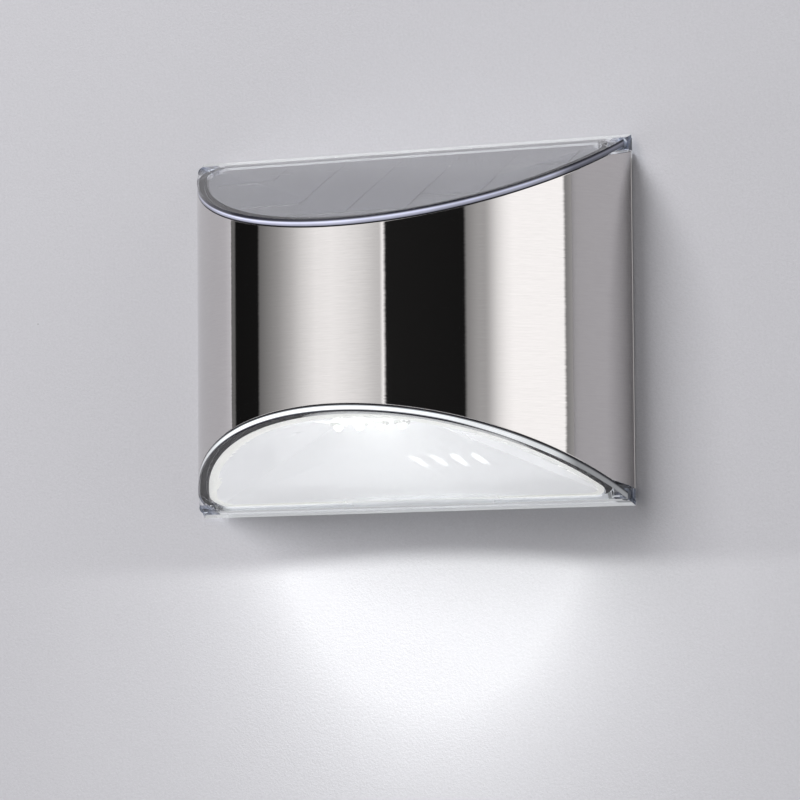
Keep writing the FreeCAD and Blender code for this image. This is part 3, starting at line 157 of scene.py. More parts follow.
# ---------------------------------------------------------------- nodes
class Net:
    """Adds nodes to a shader or geometry tree and joins them."""

    def __init__(self, tree):
        self.tree = tree

    def feed(self, socket, value):
        if isinstance(value, bpy.types.NodeSocket):
            self.tree.links.new(value, socket)
        elif isinstance(value, (tuple, list)) and socket.type == "RGBA" and len(value) == 3:
            socket.default_value = (*value, 1.0)
        else:
            socket.default_value = value

    def set(self, node, wires):
        """Feed several sockets of one node, by name."""
        for name, value in wires.items():
            self.feed(node.inputs[name], value)

    def add(self, kind, wires=None, **settings):
        node = self.tree.nodes.new(kind)
        for name, value in settings.items():
            setattr(node, name, value)
        self.set(node, wires or {})
        return node

    def math(self, operation, *values):
        node = self.add("ShaderNodeMath", operation=operation)
        for socket, value in zip(node.inputs, values):
            self.feed(socket, value)
        return node.outputs[0]

    def chain(self, operation, one, *others):
        """Join two or more values, one after the other."""
        for other in others:
            one = self.math(operation, one, other)
        return one

    def times(self, *values):
        return self.chain("MULTIPLY", *values)

    def plus(self, *values):
        return self.chain("ADD", *values)

    def most(self, *values):
        return self.chain("MAXIMUM", *values)

    def minus(self, one, other):
        return self.math("SUBTRACT", one, other)

    def over(self, one, other):
        return self.math("DIVIDE", one, other)

    def vector(self, operation, *values):
        node = self.add("ShaderNodeVectorMath", operation=operation)
        for socket, value in zip(node.inputs, values):
            self.feed(socket, value)
        return node.outputs["Vector"]

    def scaled(self, value, factor):
        """A vector or colour times a number."""
        return self.add("ShaderNodeVectorMath", {0: value, "Scale": factor}, operation="SCALE").outputs[0]

    def combine(self, x=0.0, y=0.0, z=0.0):
        return self.add("ShaderNodeCombineXYZ", {"X": x, "Y": y, "Z": z}).outputs[0]

    def split(self, value):
        return self.add("ShaderNodeSeparateXYZ", {"Vector": value}).outputs

    def span(self, value, low, high, to_low=0.0, to_high=1.0, smooth=False):
        """Move a value from one range to another, held at the ends."""
        node = self.add("ShaderNodeMapRange", {"Value": value, "From Min": low, "From Max": high,
                                               "To Min": to_low, "To Max": to_high},
                        interpolation_type="SMOOTHSTEP" if smooth else "LINEAR")
        return node.outputs["Result"]

    def mix(self, factor, one, other):
        """A colour between two."""
        node = self.add("ShaderNodeMix", data_type="RGBA")
        for socket, value in ((node.inputs["Factor"], factor), (node.inputs[6], one),
                              (node.inputs[7], other)):
            self.feed(socket, value)
        return node.outputs[2]

    def ramp(self, factor, stops):
        """A colour ramp; each stop is a place with a colour or a grey."""
        node = self.add("ShaderNodeValToRGB", {"Fac": factor})
        elements = node.color_ramp.elements
        while len(elements) > 1:
            elements.remove(elements[-1])
        for index, (place, value) in enumerate(stops):
            element = elements[0] if index == 0 else elements.new(place)
            element.position = place
            element.color = (*value, 1.0) if isinstance(value, tuple) else (value,) * 3 + (1.0,)
        return node.outputs["Color"]

    def noise(self, where, scale, detail=2.0, rough=0.5):
        return self.add("ShaderNodeTexNoise", {"Vector": where, "Scale": scale, "Detail": detail,
                                               "Roughness": rough}).outputs["Fac"]


# ---------------------------------------------------------------- finishes
BLACK, WHITE = (0.0, 0.0, 0.0), (1.0, 1.0, 1.0)


def new_finish(name, sockets):
    """A material with one Principled shader, whose sockets are set by name."""
    material = bpy.data.materials.new(name)
    material.use_nodes = True
    net = Net(material.node_tree)
    shader = material.node_tree.nodes["Principled BSDF"]
    net.set(shader, sockets)
    return material, net, shader


def show_two(material, net, factor, one, other):
    """Let the material's output blend two shaders."""
    both = net.add("ShaderNodeMixShader", {0: factor, 1: one.outputs[0], 2: other.outputs[0]})
    net.set(material.node_tree.nodes["Material Output"], {"Surface": both.outputs[0]})


def stretched(net, where, scale):
    return net.add("ShaderNodeMapping", {"Vector": where, "Scale": scale}).outputs[0]


def object_place(net, scale=(1, 1, 1)):
    return stretched(net, net.add("ShaderNodeTexCoord").outputs["Object"], scale)


def bump(net, height, strength, distance):
    return net.add("ShaderNodeBump", {"Height": height, "Strength": strength,
                                      "Distance": distance}).outputs[0]


def plastic(name, tint, roughness, grain=900.0, depth=0.03, vary=0.06, wear=0.25, coat=0.0, lit=0.0):
    """A moulded plastic: a fine grain, slow colour drift and faint rub marks."""
    material, net, shader = new_finish(name, {
        "IOR": 1.5, "Coat Weight": coat, "Coat Roughness": 0.08, "Emission Color": WHITE,
        "Emission Strength": lit})
    place = object_place(net)
    rubs = net.span(net.noise(object_place(net, (1.0, 1.0, 6.0)), 220.0, 4.0, 0.7), 0.55, 0.75)
    net.set(shader, {
        "Base Color": net.mix(net.noise(place, 60.0, 3.0), shade(tint, 1 - vary), shade(tint, 1 + vary)),
        "Roughness": net.plus(roughness, net.times(rubs, wear * roughness)),
        "Normal": bump(net, net.noise(place, grain, 3.0), 0.25, depth * MM)})
    return material


def rubber(name, tint):
    """Matt rubber or foam with a coarse skin."""
    material, net, shader = new_finish(name, {"Roughness": 0.75, "IOR": 1.5})
    place = object_place(net)
    net.set(shader, {"Base Color": net.mix(net.noise(place, 400.0, 4.0), tint, shade(tint, 2.2)),
                     "Normal": bump(net, net.noise(place, 2500.0), 0.4, 0.05 * MM)})
    return material


def metal(name, tint, roughness, stretch=(1.0, 1.0, 8.0)):
    """A plated or plain metal with fine drawn lines and small dull spots."""
    material, net, shader = new_finish(name, {"Metallic": 1.0})
    lines = net.noise(object_place(net, stretch), 700.0, 4.0, 0.6)
    spots = net.span(net.noise(object_place(net), 260.0, 3.0), 0.55, 0.8)
    net.set(shader, {
        "Base Color": net.mix(spots, tint, shade(tint, 0.72)),
        "Roughness": net.span(net.plus(lines, spots), 0.2, 1.4, roughness * 0.7, roughness * 1.6),
        "Normal": bump(net, lines, 0.2, 0.02 * MM)})
    return material


def brushed_steel(name):
    """Stainless brushed along the bow. The map's U runs up the sheet, across the brushing."""
    material, net, shader = new_finish(name, {"Metallic": 1.0, "Anisotropic": 0.98})
    chart = net.add("ShaderNodeUVMap", uv_map="UVMap").outputs["UV"]
    hair = stretched(net, chart, (1.0, 0.035, 1.0))
    broad = net.noise(stretched(net, chart, (1.0, 0.25, 1.0)), 45.0)
    streaks = net.plus(net.times(net.noise(hair, 8000.0, 3.0, 0.65), 0.65),
                       net.times(net.noise(hair, 2600.0), 0.35))
    along = net.vector("CROSS_PRODUCT", net.add("ShaderNodeNewGeometry").outputs["Normal"], tuple(UP))
    swing = net.scaled(along, net.span(streaks, 0.25, 0.75, -0.005, 0.005))
    normal = net.vector("ADD", bump(net, streaks, 0.05, 0.02 * MM), swing)
    tint = tint_of("steel")
    net.set(shader, {
        "Base Color": net.mix(net.span(streaks, 0.3, 0.7), shade(tint, 0.94), shade(tint, 1.05)),
        "Roughness": net.span(net.plus(streaks, broad), 0.6, 1.4, 0.045, 0.07),
        "Normal": net.vector("NORMALIZE", normal),
        "Tangent": net.add("ShaderNodeTangent", direction_type="UV_MAP", uv_map="UVMap").outputs[0]})
    return material


def clear_finish(name):
    """Polished clear plastic that lets lamps through, with faint flow lines and rub marks."""
    material, net, shader = new_finish(name, {
        "Base Color": tint_of("clear"), "Transmission Weight": 1.0, "IOR": 1.50})
    place = object_place(net)
    rubs = net.span(net.noise(place, 900.0, 5.0, 0.7), 0.6, 0.8)
    net.set(shader, {"Roughness": net.times(rubs, 0.06),
                     "Normal": bump(net, net.noise(place, 90.0), 0.05, 0.05 * MM)})
    through = net.add("ShaderNodeBsdfTransparent", {"Color": (0.86, 0.87, 0.88)})
    show_two(material, net, net.add("ShaderNodeLightPath").outputs["Is Shadow Ray"], shader, through)
    return material, net, shader, place


def clear_plastic(name):
    """The body of the covers, with painted light: milky stripes along the wall, which glow on the lens,
    stand for light gathered in their edges.
    """
    material, net, shader, place = clear_finish(name)
    x, y, z = net.split(place)

    def stripe(middle, half, soft=0.15):
        off = net.math("ABSOLUTE", net.minus(y, middle * MM))
        return net.span(off, half * MM, (half + soft) * MM, 1.0, 0.0)

    aside = net.math("ABSOLUTE", net.minus(x, 4 * MM))
    lit_part = net.times(net.span(aside, 6 * MM, 32 * MM, 0.7, 0.0), stripe(-4.2, 1.0, 1.2))
    under = net.most(stripe(-0.7, 0.75), stripe(-2.75, 0.4), net.times(stripe(-1.7, 1.0), 0.45), lit_part)
    over = net.times(net.most(stripe(-0.25, 0.2), stripe(-2.9, 0.25)), 0.35)
    is_top = net.math("GREATER_THAN", z, 0.0)
    # painted light: pale stripes along the wall, faded out at the left end; on the lens they also glow
    painted_light_strips = net.times(net.split(net.mix(is_top, under, over))[0],
                     net.span(x, -57 * MM, -51 * MM, 0.0, 0.85))
    glow = net.times(painted_light_strips, net.minus(1.0, is_top))
    net.set(shader, {"Transmission Weight": net.minus(1.0, painted_light_strips),
                     "Emission Color": net.mix(glow, BLACK, tint_of("lens_edge")),
                     "Emission Strength": 0.2})
    return material


def clear_plastic_edge(name):
    """The covers' edges, painted: a pale line of gathered light between dark lines of painted shade and
    dark reflection.
    """
    material, net, shader, place = clear_finish(name)
    bow, size = Bow(), sizes()
    x, y, z = net.split(place)
    foot = net.plus(bow.rise + size.cover_gap, net.times(y, bow.slope))
    high = net.over(net.minus(net.math("ABSOLUTE", z), foot), size.cover_plate)
    top_end = net.span(x, -30 * MM, 10 * MM, 0.58, 0.74)
    lens_end = net.most(net.span(x, -25 * MM, 27 * MM, 0.42, 0.70),
                        net.span(x, 27 * MM, 46 * MM, 0.70, 1.0))
    # painted light and shade: the edge lines dim towards the left end and past the right end, with a
    # faint random drift
    fade = net.times(net.span(x, -57 * MM, -30 * MM, 0.12, 1.0), net.span(x, 48 * MM, 52 * MM, 1.0, 0.35),
                     net.span(net.noise(place, 120.0), 0.3, 0.7, 0.85, 1.0))
    # the painted dark lines: shade in the seam and dark reflections along the edge
    black = (0.02, 0.02, 0.027)
    ramp_share = 0.4  # a line's own height takes this share of its ramp; the rest lies past its end

    def line(end, tint, stops):
        place_ = net.times(net.over(high, end), ramp_share)
        level = net.ramp(place_, [(spot * ramp_share, value) for spot, value in stops])
        return net.mix(net.times(net.split(level)[0], fade), black, tint)

    top = line(top_end, tint_of("top_edge"), [(0.0, 0.15), (0.2, 0.35), (0.5, 0.6), (0.7, 0.9),
                                              (0.85, 0.6), (1.0, 0.08), (1.2, 0.0), (2.2, 0.02)])
    lens = line(lens_end, tint_of("lens_edge"), [(0.0, 0.0), (0.12, 0.02), (0.35, 0.9), (0.5, 1.0),
                                                 (0.9, 1.0), (1.02, 0.5), (1.15, 0.0), (2.2, 0.0)])
    # the painted edge lines also glow, as the light gathered in the edge
    paint = net.mix(net.math("GREATER_THAN", z, 0.0), lens, top)
    net.set(shader, {"Base Color": paint, "Emission Color": paint, "Emission Strength": 0.35,
                     "Specular IOR Level": 0.25, "Transmission Weight": 0.0})
    return material


def clear_plastic_lug(name):
    """The corner lugs, with painted reflection: a dark blue-grey blend with pale flecks stands for what
    shows through them.
    """
    material, net, shader, _ = clear_finish(name)
    tint = tint_of("lug")
    # painted reflection and highlights: blue-grey blotches up to pale flecks
    blend = net.noise(object_place(net, (1.0, 1.0, 0.5)), 480.0)
    net.set(shader, {"Base Color": net.ramp(blend, [(0.30, shade(tint, 0.12)), (0.44, shade(tint, 0.5)),
                                                    (0.57, tint), (0.70, (0.7, 0.75, 0.85))]),
                     "Transmission Weight": 0.3})
    return material


def circuit_board(name, mask, pad, lit_by_leds=0.0):
    """Solder mask over copper tracks, with a weave that shows through."""
    material, net, shader = new_finish(name, {
        "IOR": 1.5, "Coat Weight": 0.4, "Coat Roughness": 0.2, "Emission Color": WHITE,
        "Emission Strength": lit_by_leds})
    place = object_place(net)
    tracks = net.add("ShaderNodeTexBrick", {
        "Vector": net.vector("ADD", place, (0.5, 0.5, 0.5)), "Scale": 260.0, "Mortar Size": 0.03,
        "Mortar Smooth": 0.1, "Color1": BLACK, "Color2": (0.35, 0.35, 0.35),
        "Mortar": WHITE}).outputs["Color"]
    weave = net.add("ShaderNodeTexChecker", {"Vector": place, "Scale": 2400.0}).outputs["Fac"]
    over_track = tuple(min(1.0, part * 1.5 + 0.02) for part in mask)
    base = net.mix(net.times(tracks, 0.6), mask, over_track)
    net.set(shader, {"Base Color": net.mix(net.times(weave, 0.06), base, pad),
                     "Roughness": net.span(net.noise(place, 300.0), 0.0, 1.0, 0.3, 0.5),
                     "Normal": bump(net, tracks, 0.3, 0.03 * MM)})
    return material


def led_phosphor(name):
    """The yellow phosphor under an LED's dome, lit."""
    material, net, shader = new_finish(name, {
        "Base Color": (0.9, 0.85, 0.4), "Roughness": 0.2, "Emission Color": tint_of("glow"),
        "Emission Strength": studio().led_strength})
    net.set(shader, {"Normal": bump(net, net.noise(object_place(net), 1800.0), 0.1, 0.01 * MM)})
    return material


def laminate(name, tint):
    """The panel's frosted film over dark crystals: a fine slanting hatch and a few dust specks."""
    material, net, shader = new_finish(name, {"IOR": 1.5, "Coat Weight": 0.5, "Coat Roughness": 0.12})
    place = object_place(net)
    x, y, _ = net.split(place)
    pitch = 0.36 * MM
    slant = net.plus(x, net.times(y, 0.8), net.times(net.noise(place, 60.0), 1.2 * MM))
    hatch = net.span(net.math("PINGPONG", slant, pitch), 0.0, pitch, smooth=True)
    crystals = net.add("ShaderNodeTexVoronoi", {"Vector": place, "Scale": 320.0}).outputs["Color"]
    mottle = net.plus(net.times(hatch, 0.35), net.noise(place, 45.0, 3.0),
                      net.times(net.split(crystals)[0], 0.15))
    base = net.mix(net.span(mottle, 0.4, 1.2), shade(tint, 0.7), shade(tint, 1.5))
    dust = net.add("ShaderNodeTexVoronoi", {"Vector": place, "Scale": 260.0}).outputs
    speck = net.times(net.math("GREATER_THAN", net.split(dust["Color"])[1], 0.93),
                      net.math("LESS_THAN", dust["Distance"], 0.10))
    net.set(shader, {"Base Color": net.mix(speck, base, (0.4, 0.4, 0.42)),
                     "Roughness": net.span(net.noise(place, 1500.0, 3.0), 0.3, 0.7, 0.28, 0.36),
                     "Normal": bump(net, hatch, 0.25, 0.006 * MM)})
    return material


def striped(name, base, bands, roughness=0.35):
    """A glossy body with bands across it: bands() lists (low, high, colour) along X."""
    material, net, shader = new_finish(name, {"IOR": 1.5, "Coat Weight": 0.5, "Coat Roughness": 0.1})
    place = object_place(net)
    along = net.split(place)[0]
    tint = net.mix(net.noise(place, 250.0, 3.0), base, shade(base, 0.85))
    for low, high, band in bands():
        inside = net.times(net.math("GREATER_THAN", along, low), net.math("LESS_THAN", along, high))
        tint = net.mix(inside, tint, band)
    net.set(shader, {"Base Color": tint,
                     "Roughness": net.span(net.noise(place, 600.0, 4.0), 0.3, 0.7,
                                           roughness * 0.8, roughness * 1.3),
                     "Normal": bump(net, net.noise(place, 500.0, 3.0), 0.15, 0.02 * MM)})
    return material


def resistor_bands():
    """Four thin rings, placed from the resistor's middle."""
    low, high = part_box("resistor")
    middle, half = (low.x + high.x) / 2, 0.2 * MM
    rings = [(-1.5, (0.16, 0.06, 0.02)), (-0.5, (0.01, 0.01, 0.01)), (0.5, (0.5, 0.04, 0.02)),
             (1.6, (0.45, 0.30, 0.06))]
    return [(middle + at * MM - half, middle + at * MM + half, tint) for at, tint in rings]


def battery_bands():
    """Bare metal at both ends of the cell and a pale band by its plus end."""
    low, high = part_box("battery")
    bare = (0.55, 0.55, 0.55)
    return [(low.x - MM, low.x + 0.6 * MM, bare),
            (high.x - 9.0 * MM, high.x - 1.8 * MM, (0.72, 0.72, 0.70)),
            (high.x - 1.8 * MM, high.x + MM, bare)]


def tray_plastic(name, tint, roughness, coat):
    """The reflector's glossy white, which glows a little in the LEDs' light."""
    return plastic(name, tint, roughness, grain=160.0, depth=0.02, vary=0.02, coat=coat,
                   lit=studio().tray_glow)


# Each slot's maker, and what it is given after its name. A text is one of the add-on's colours, and
# a dictionary at the end holds named values.
FINISHES = {
    "steel": (brushed_steel,),
    "clear_plastic": (clear_plastic,),
    "clear_plastic_edge": (clear_plastic_edge,),
    "clear_plastic_lug": (clear_plastic_lug,),
    # painted shade: near-black faces where the seam and the gap under a cover's rim lie in shadow
    "cover_seam": (rubber, (0.008, 0.008, 0.009)),
    "housing_plastic": (plastic, "housing", 0.42),
    "reflector_plastic": (tray_plastic, "reflector", 0.16, 0.5),
    "reflector_rim": (tray_plastic, "rim", 0.3, 0.0),
    "seal_rubber": (rubber, (0.02, 0.02, 0.021)),
    "foam": (rubber, (0.05, 0.05, 0.052)),
    "panel_board": (laminate, "laminate"),
    "solar_silicon": (laminate, "silicon"),
    "laminated_ribbon": (laminate, "laminate"),
    "tinned_copper": (metal, (0.72, 0.72, 0.70), 0.25),
    "board_white": (circuit_board, (0.78, 0.79, 0.76), (0.9, 0.8, 0.5), 0.7),
    "board_green": (circuit_board, (0.015, 0.12, 0.045), (0.5, 0.4, 0.1)),
    "led_resin": (led_phosphor,),
    "led_case": (plastic, (0.85, 0.85, 0.82), 0.3, {"depth": 0.01}),
    "screw_steel": (metal, (0.66, 0.65, 0.62), 0.22),
    "chip_resin": (plastic, (0.02, 0.02, 0.021), 0.55, {"grain": 2200.0}),
    "capacitor_sleeve": (plastic, (0.015, 0.03, 0.10), 0.25, {"coat": 0.4}),
    "resistor_coat": (striped, (0.50, 0.36, 0.20), resistor_bands),
    "ferrite": (plastic, (0.05, 0.05, 0.052), 0.6, {"grain": 1800.0, "vary": 0.2}),
    "copper_wire": (metal, (0.75, 0.33, 0.16), 0.2, (1.0, 14.0, 1.0)),
    "switch_plastic": (plastic, (0.018, 0.018, 0.019), 0.45),
    "cell_wrap": (striped, (0.03, 0.22, 0.12), battery_bands, 0.22),
    "spring_steel": (metal, (0.68, 0.68, 0.67), 0.18),
    "red_sleeve": (plastic, (0.48, 0.02, 0.015), 0.38),
    "black_sleeve": (plastic, (0.016, 0.016, 0.017), 0.38),
}
made_finishes = {}


def finish(slot):
    """The finish of a material slot, made once."""
    if slot not in made_finishes:
        maker, *given = FINISHES[slot]
        named = given.pop() if given and isinstance(given[-1], dict) else {}
        given = [tint_of(value) if isinstance(value, str) else value for value in given]
        made_finishes[slot] = maker(slot, *given, **named)
    return made_finishes[slot]


def dress(*nodes, look=None):
    """Give CAD nodes the finish of their own material slot, or another look."""
    slots = {part["node"]: part["material_slot"] for part in frame["record"]["subparts"]}
    for node in nodes:
        mesh = frame["nodes"][node].data
        mesh.materials.clear()
        mesh.materials.append(finish(look or slots[node]))


# ---------------------------------------------------------------- shapes
class Bow:
    """The case's D-shaped plan and its sloped ends, from the sizes."""

    def __init__(self):
        low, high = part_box("steel_shell")
        size = sizes()
        self.half = high.x
        self.depth = -low.y
        self.radius = (self.half ** 2 + self.depth ** 2) / (2 * self.depth)
        self.centre = self.radius - self.depth
        self.rise = size.wall_height / 2
        self.slope = (size.wall_height - size.front_height) / (2 * self.depth)

    def outline(self, inset, back, corner=0.0, spots=110):
        """The D drawn in by inset and closed at depth back, from its left end to its right one."""
        radius = self.radius - inset
        if corner == 0.0:
            reach = math.asin(math.sqrt(radius ** 2 - (self.centre + back) ** 2) / radius)
            turns = []
        else:
            steps = 14
            turn_y = -back - corner
            turn_x = math.sqrt((radius - corner) ** 2 - (self.centre - turn_y) ** 2)
            reach = math.atan2(turn_x, self.centre - turn_y)
            angles = [reach + (math.pi - reach) * (step + 1) / steps for step in range(steps)]
            turns = [(turn_x + corner * math.sin(angle), turn_y - corner * math.cos(angle))
                     for angle in angles]
        angles = [reach * (2 * spot / spots - 1) for spot in range(spots + 1)]
        bow = [(radius * math.sin(angle), self.centre - radius * math.cos(angle)) for angle in angles]
        return [(-x, y) for x, y in reversed(turns)] + bow + turns

    def height(self, y, rise=0.0):
        """Height of a plane that lies rise past the steel's sloped end, at y."""
        return self.rise + rise + self.slope * y


def mesh_from(name, verts, faces):
    """A mesh with its normals outwards."""
    mesh = bpy.data.meshes.new(name)
    mesh.from_pydata(verts, [], faces)
    work = bmesh.new()
    work.from_mesh(mesh)
    bmesh.ops.recalc_face_normals(work, faces=work.faces)
    work.to_mesh(mesh)
    work.free()
    return mesh


def prism(name, points, low, high):
    """A closed solid over a plan; low and high give the heights of its ends from y."""
    count = len(points)
    verts = [(x, y, low(y)) for x, y in points] + [(x, y, high(y)) for x, y in points]
    faces = [tuple(range(count)), tuple(range(2 * count - 1, count - 1, -1))]
    for index in range(count):
        after = (index + 1) % count
        faces.append((index, after, count + after, count + index))
    return mesh_from(name, verts, faces)


def loose(name, data):
    """An object in the scene, not yet on any body."""
    thing = bpy.data.objects.new(name, data)
    bpy.context.scene.collection.objects.link(thing)
    return thing


def settle(thing):
    """Turn an object's modifiers into a plain mesh."""
    graph = bpy.context.evaluated_depsgraph_get()
    graph.update()
    mesh = bpy.data.meshes.new_from_object(thing.evaluated_get(graph), preserve_all_data_layers=True,
                                           depsgraph=graph)
    old = thing.data
    thing.modifiers.clear()
    thing.data = mesh
    bpy.data.meshes.remove(old)
    mesh.name = thing.name
    return thing


def combine(thing, other, operation):
    """Join or cut one closed object with another, which is used up."""
    step = thing.modifiers.new("combine", "BOOLEAN")
    step.operation = operation
    step.object = other
    step.solver = "EXACT"
    settle(thing)
    mesh = other.data
    bpy.data.objects.remove(other)
    bpy.data.meshes.remove(mesh)
    return thing


def soften(thing, width, segments=3, angle=35.0):
    """Round the sharp edges and keep the flats flat in the shading."""
    thing.data.shade_smooth()
    step = thing.modifiers.new("round", "BEVEL")
    step.width = width
    step.segments = segments
    step.limit_method = "ANGLE"
    step.angle_limit = math.radians(angle)
    step.harden_normals = True
    return settle(thing)


def place_piece(thing, body, slot, *nodes):
    """A finished piece: it rides on its body and stands for its CAD nodes."""
    if not thing.data.materials:
        thing.data.materials.append(finish(slot))
    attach(thing, body)
    if nodes:
        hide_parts(*nodes)
    return thing


# ---------------------------------------------------------------- the pieces
def new_tree(name, **inputs):
    """A geometry tree; inputs lists the names of its inputs by their kind."""
    tree = bpy.data.node_groups.new(name, "GeometryNodeTree")
    for kind, labels in inputs.items():
        for label in labels:
            tree.interface.new_socket(label, in_out="INPUT", socket_type="NodeSocket" + kind)
    tree.interface.new_socket("Geometry", in_out="OUTPUT", socket_type="NodeSocketGeometry")
    net = Net(tree)
    return tree, net, net.add("NodeGroupInput").outputs


def end_tree(net, geometry, material):
    """Make a tree's instances real, give them their material and send them out."""
    real = net.add("GeometryNodeRealizeInstances", {"Geometry": geometry})
    done = net.add("GeometryNodeSetMaterial", {"Geometry": real.outputs[0], "Material": material})
    net.add("NodeGroupOutput", {"Geometry": done.outputs[0]})


def steel_tree():
    """Geometry nodes that bend a grid to the bow, slope its ends and lower its corners."""
    tree, net, given = new_tree("bowed_sheet", Material=["Finish"], Float=[
        "Half Width", "Radius", "Centre", "Rise", "Slope", "Relief Drop", "Relief Run"])
    grid = net.add("GeometryNodeMeshGrid", {"Size X": 1.0, "Size Y": 1.0, "Vertices X": 241,
                                            "Vertices Y": 13})
    u, v, _ = net.split(net.add("GeometryNodeInputPosition").outputs[0])
    reach = net.math("ARCSINE", net.over(given["Half Width"], given["Radius"]))
    angle = net.times(u, 2.0, reach)
    x = net.times(given["Radius"], net.math("SINE", angle))
    y = net.minus(given["Centre"], net.times(given["Radius"], net.math("COSINE", angle)))
    end = net.plus(given["Rise"], net.times(given["Slope"], y))
    pitch = net.minus(given["Slope"], net.over(given["Relief Drop"], given["Relief Run"]))
    relief = net.plus(net.minus(given["Rise"], given["Relief Drop"]), net.times(pitch, y))
    z = net.times(v, 2.0, net.math("MINIMUM", end, relief))
    arc = net.times(angle, given["Radius"])
    chart = net.add("GeometryNodeStoreNamedAttribute",
                    {"Geometry": grid.outputs["Mesh"], "Name": "UVMap",
                     "Value": net.combine(z, arc, 0.0)}, data_type="FLOAT2", domain="CORNER")
    bent = net.add("GeometryNodeSetPosition", {"Geometry": chart.outputs[0],
                                               "Position": net.combine(x, y, z)})
    end_tree(net, bent.outputs[0], given["Finish"])
    return tree


def run_tree(name, tree, values, mesh=None):
    """An object made by a geometry tree from named values, as a plain mesh."""
    thing = loose(name, mesh or bpy.data.meshes.new(name))
    step = thing.modifiers.new("shape", "NODES")
    step.node_group = tree
    for item in tree.interface.items_tree:
        if item.in_out == "INPUT" and item.name in values:
            step[item.identifier] = values[item.name]
    return settle(thing)


def make_steel_shell():
    """The bowed sheet, given its thickness and cut flat at the wall."""
    size, bow = sizes(), Bow()
    sheet = run_tree("steel_shell_sheet", steel_tree(), {
        "Half Width": bow.half, "Radius": bow.radius, "Centre": bow.centre, "Rise": bow.rise,
        "Slope": bow.slope, "Relief Drop": size.relief_drop, "Relief Run": size.relief_run,
        "Finish": finish("steel")})
    sheet.data.shade_smooth()
    thick = sheet.modifiers.new("sheet", "SOLIDIFY")
    thick.thickness = size.steel_wall
    thick.offset = -1.0
    settle(sheet)
    for corner in sheet.data.vertices:
        corner.co.y = min(corner.co.y, 0.0)
    soften(sheet, size.steel_round, angle=60.0)
    return place_piece(sheet, "lamp", "steel", "steel_shell")


BODY, EDGE, LUG, SEAM_SHADE = range(4)
COVER_SLOTS = ("clear_plastic", "clear_plastic_edge", "clear_plastic_lug", "cover_seam")


def add_corner_lug(body, hand, side, outer):
    """A lug on one corner of a cover, with a round boss that stands out of its front."""
    size, bow = sizes(), Bow()
    wall_play, boss_inset, boss_reach = 0.1 * MM, 0.2 * MM, 0.5 * MM
    left, right = sorted((hand * outer, hand * (outer - size.lug_width)))
    back = -wall_play
    front = back - size.lug_depth
    foot = side * (bow.rise - size.lug_drop)
    top = size.cover_gap + size.cover_plate / 2
    corners = [(left, front), (right, front), (right, back), (left, back)]
    lug = prism("lug", corners, lambda y: foot, lambda y: side * bow.height(y, top))
    combine(body, loose("lug", lug), "UNION")
    middle = (hand * (outer - boss_inset - size.boss_radius),
              front - boss_reach + size.lug_depth / 2,
              foot + side * size.boss_radius)
    work = bmesh.new()
    bmesh.ops.create_cone(work, cap_ends=True, segments=32, radius1=size.boss_radius,
                          radius2=size.boss_radius, depth=size.lug_depth,
                          matrix=Matrix.Translation(middle) @ Matrix.Rotation(math.pi / 2, 4, "X"))
    boss = bpy.data.meshes.new("boss")
    work.to_mesh(boss)
    work.free()
    combine(body, loose("boss", boss), "UNION")


def paint_cover(body, side, outer):
    """Give a cover's lugs, its edge with painted light and its faces of painted seam shade their own
    slots.
    """
    size, bow = sizes(), Bow()
    for slot in COVER_SLOTS:
        body.data.materials.append(finish(slot))
    gap, near, skirt_radius = size.cover_gap, 0.3 * MM, bow.radius - size.skirt_inset
    lug_start, lug_front = outer - size.lug_width - 0.1 * MM, -size.lug_depth - 0.8 * MM
    points = body.data.vertices
    for face in body.data.polygons:
        spot, upright = face.center, abs(face.normal.z) < 0.8
        reach = math.hypot(spot.x, spot.y - bow.centre)
        least = min(math.hypot(points[i].co.x, points[i].co.y - bow.centre) for i in face.vertices)
        past = side * spot.z - bow.height(spot.y)
        # faces painted as shade: the skirt's outer wall by the seam and the plate's underside over the
        # steel
        on_skirt = past < gap + near and abs(reach - skirt_radius) < near / 2 and upright
        under_plate = side * face.normal.z < -0.5 and least > skirt_radius - 0.05 * MM
        if abs(spot.x) > lug_start and spot.y > lug_front:
            face.material_index = LUG
        elif reach > bow.radius - near and past > gap and upright:
            face.material_index = EDGE
        elif on_skirt or under_plate:
            face.material_index = SEAM_SHADE


def make_cover(name, side, node):
    """A clear plate with a skirt inside the steel, and a lug with a boss at each corner."""
    size, bow = sizes(), Bow()
    gap, plate, wall = size.cover_gap, size.cover_plate, size.skirt_wall

    def at(rise):
        return lambda y: side * bow.height(y, rise)

    skirt_plan = bow.outline(size.skirt_inset, size.skirt_back, size.corner_round)
    hollow_plan = bow.outline(size.skirt_inset + wall, size.skirt_back + wall, size.corner_round - wall)
    body = loose(name, prism(name, bow.outline(0.0, 0.0), at(gap), at(gap + plate)))
    skirt = loose("skirt", prism("skirt", skirt_plan, at(-size.skirt_drop), at(gap + plate / 2)))
    hollow = loose("hollow", prism("hollow", hollow_plan, at(-2 * size.skirt_drop), at(gap)))
    combine(body, skirt, "UNION")
    combine(body, hollow, "DIFFERENCE")
    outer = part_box(node)[1].x
    for hand in (1, -1):
        add_corner_lug(body, hand, side, outer)
    soften(body, size.cover_round)
    paint_cover(body, side, outer)
    return place_piece(body, "lamp", "clear_plastic", node)


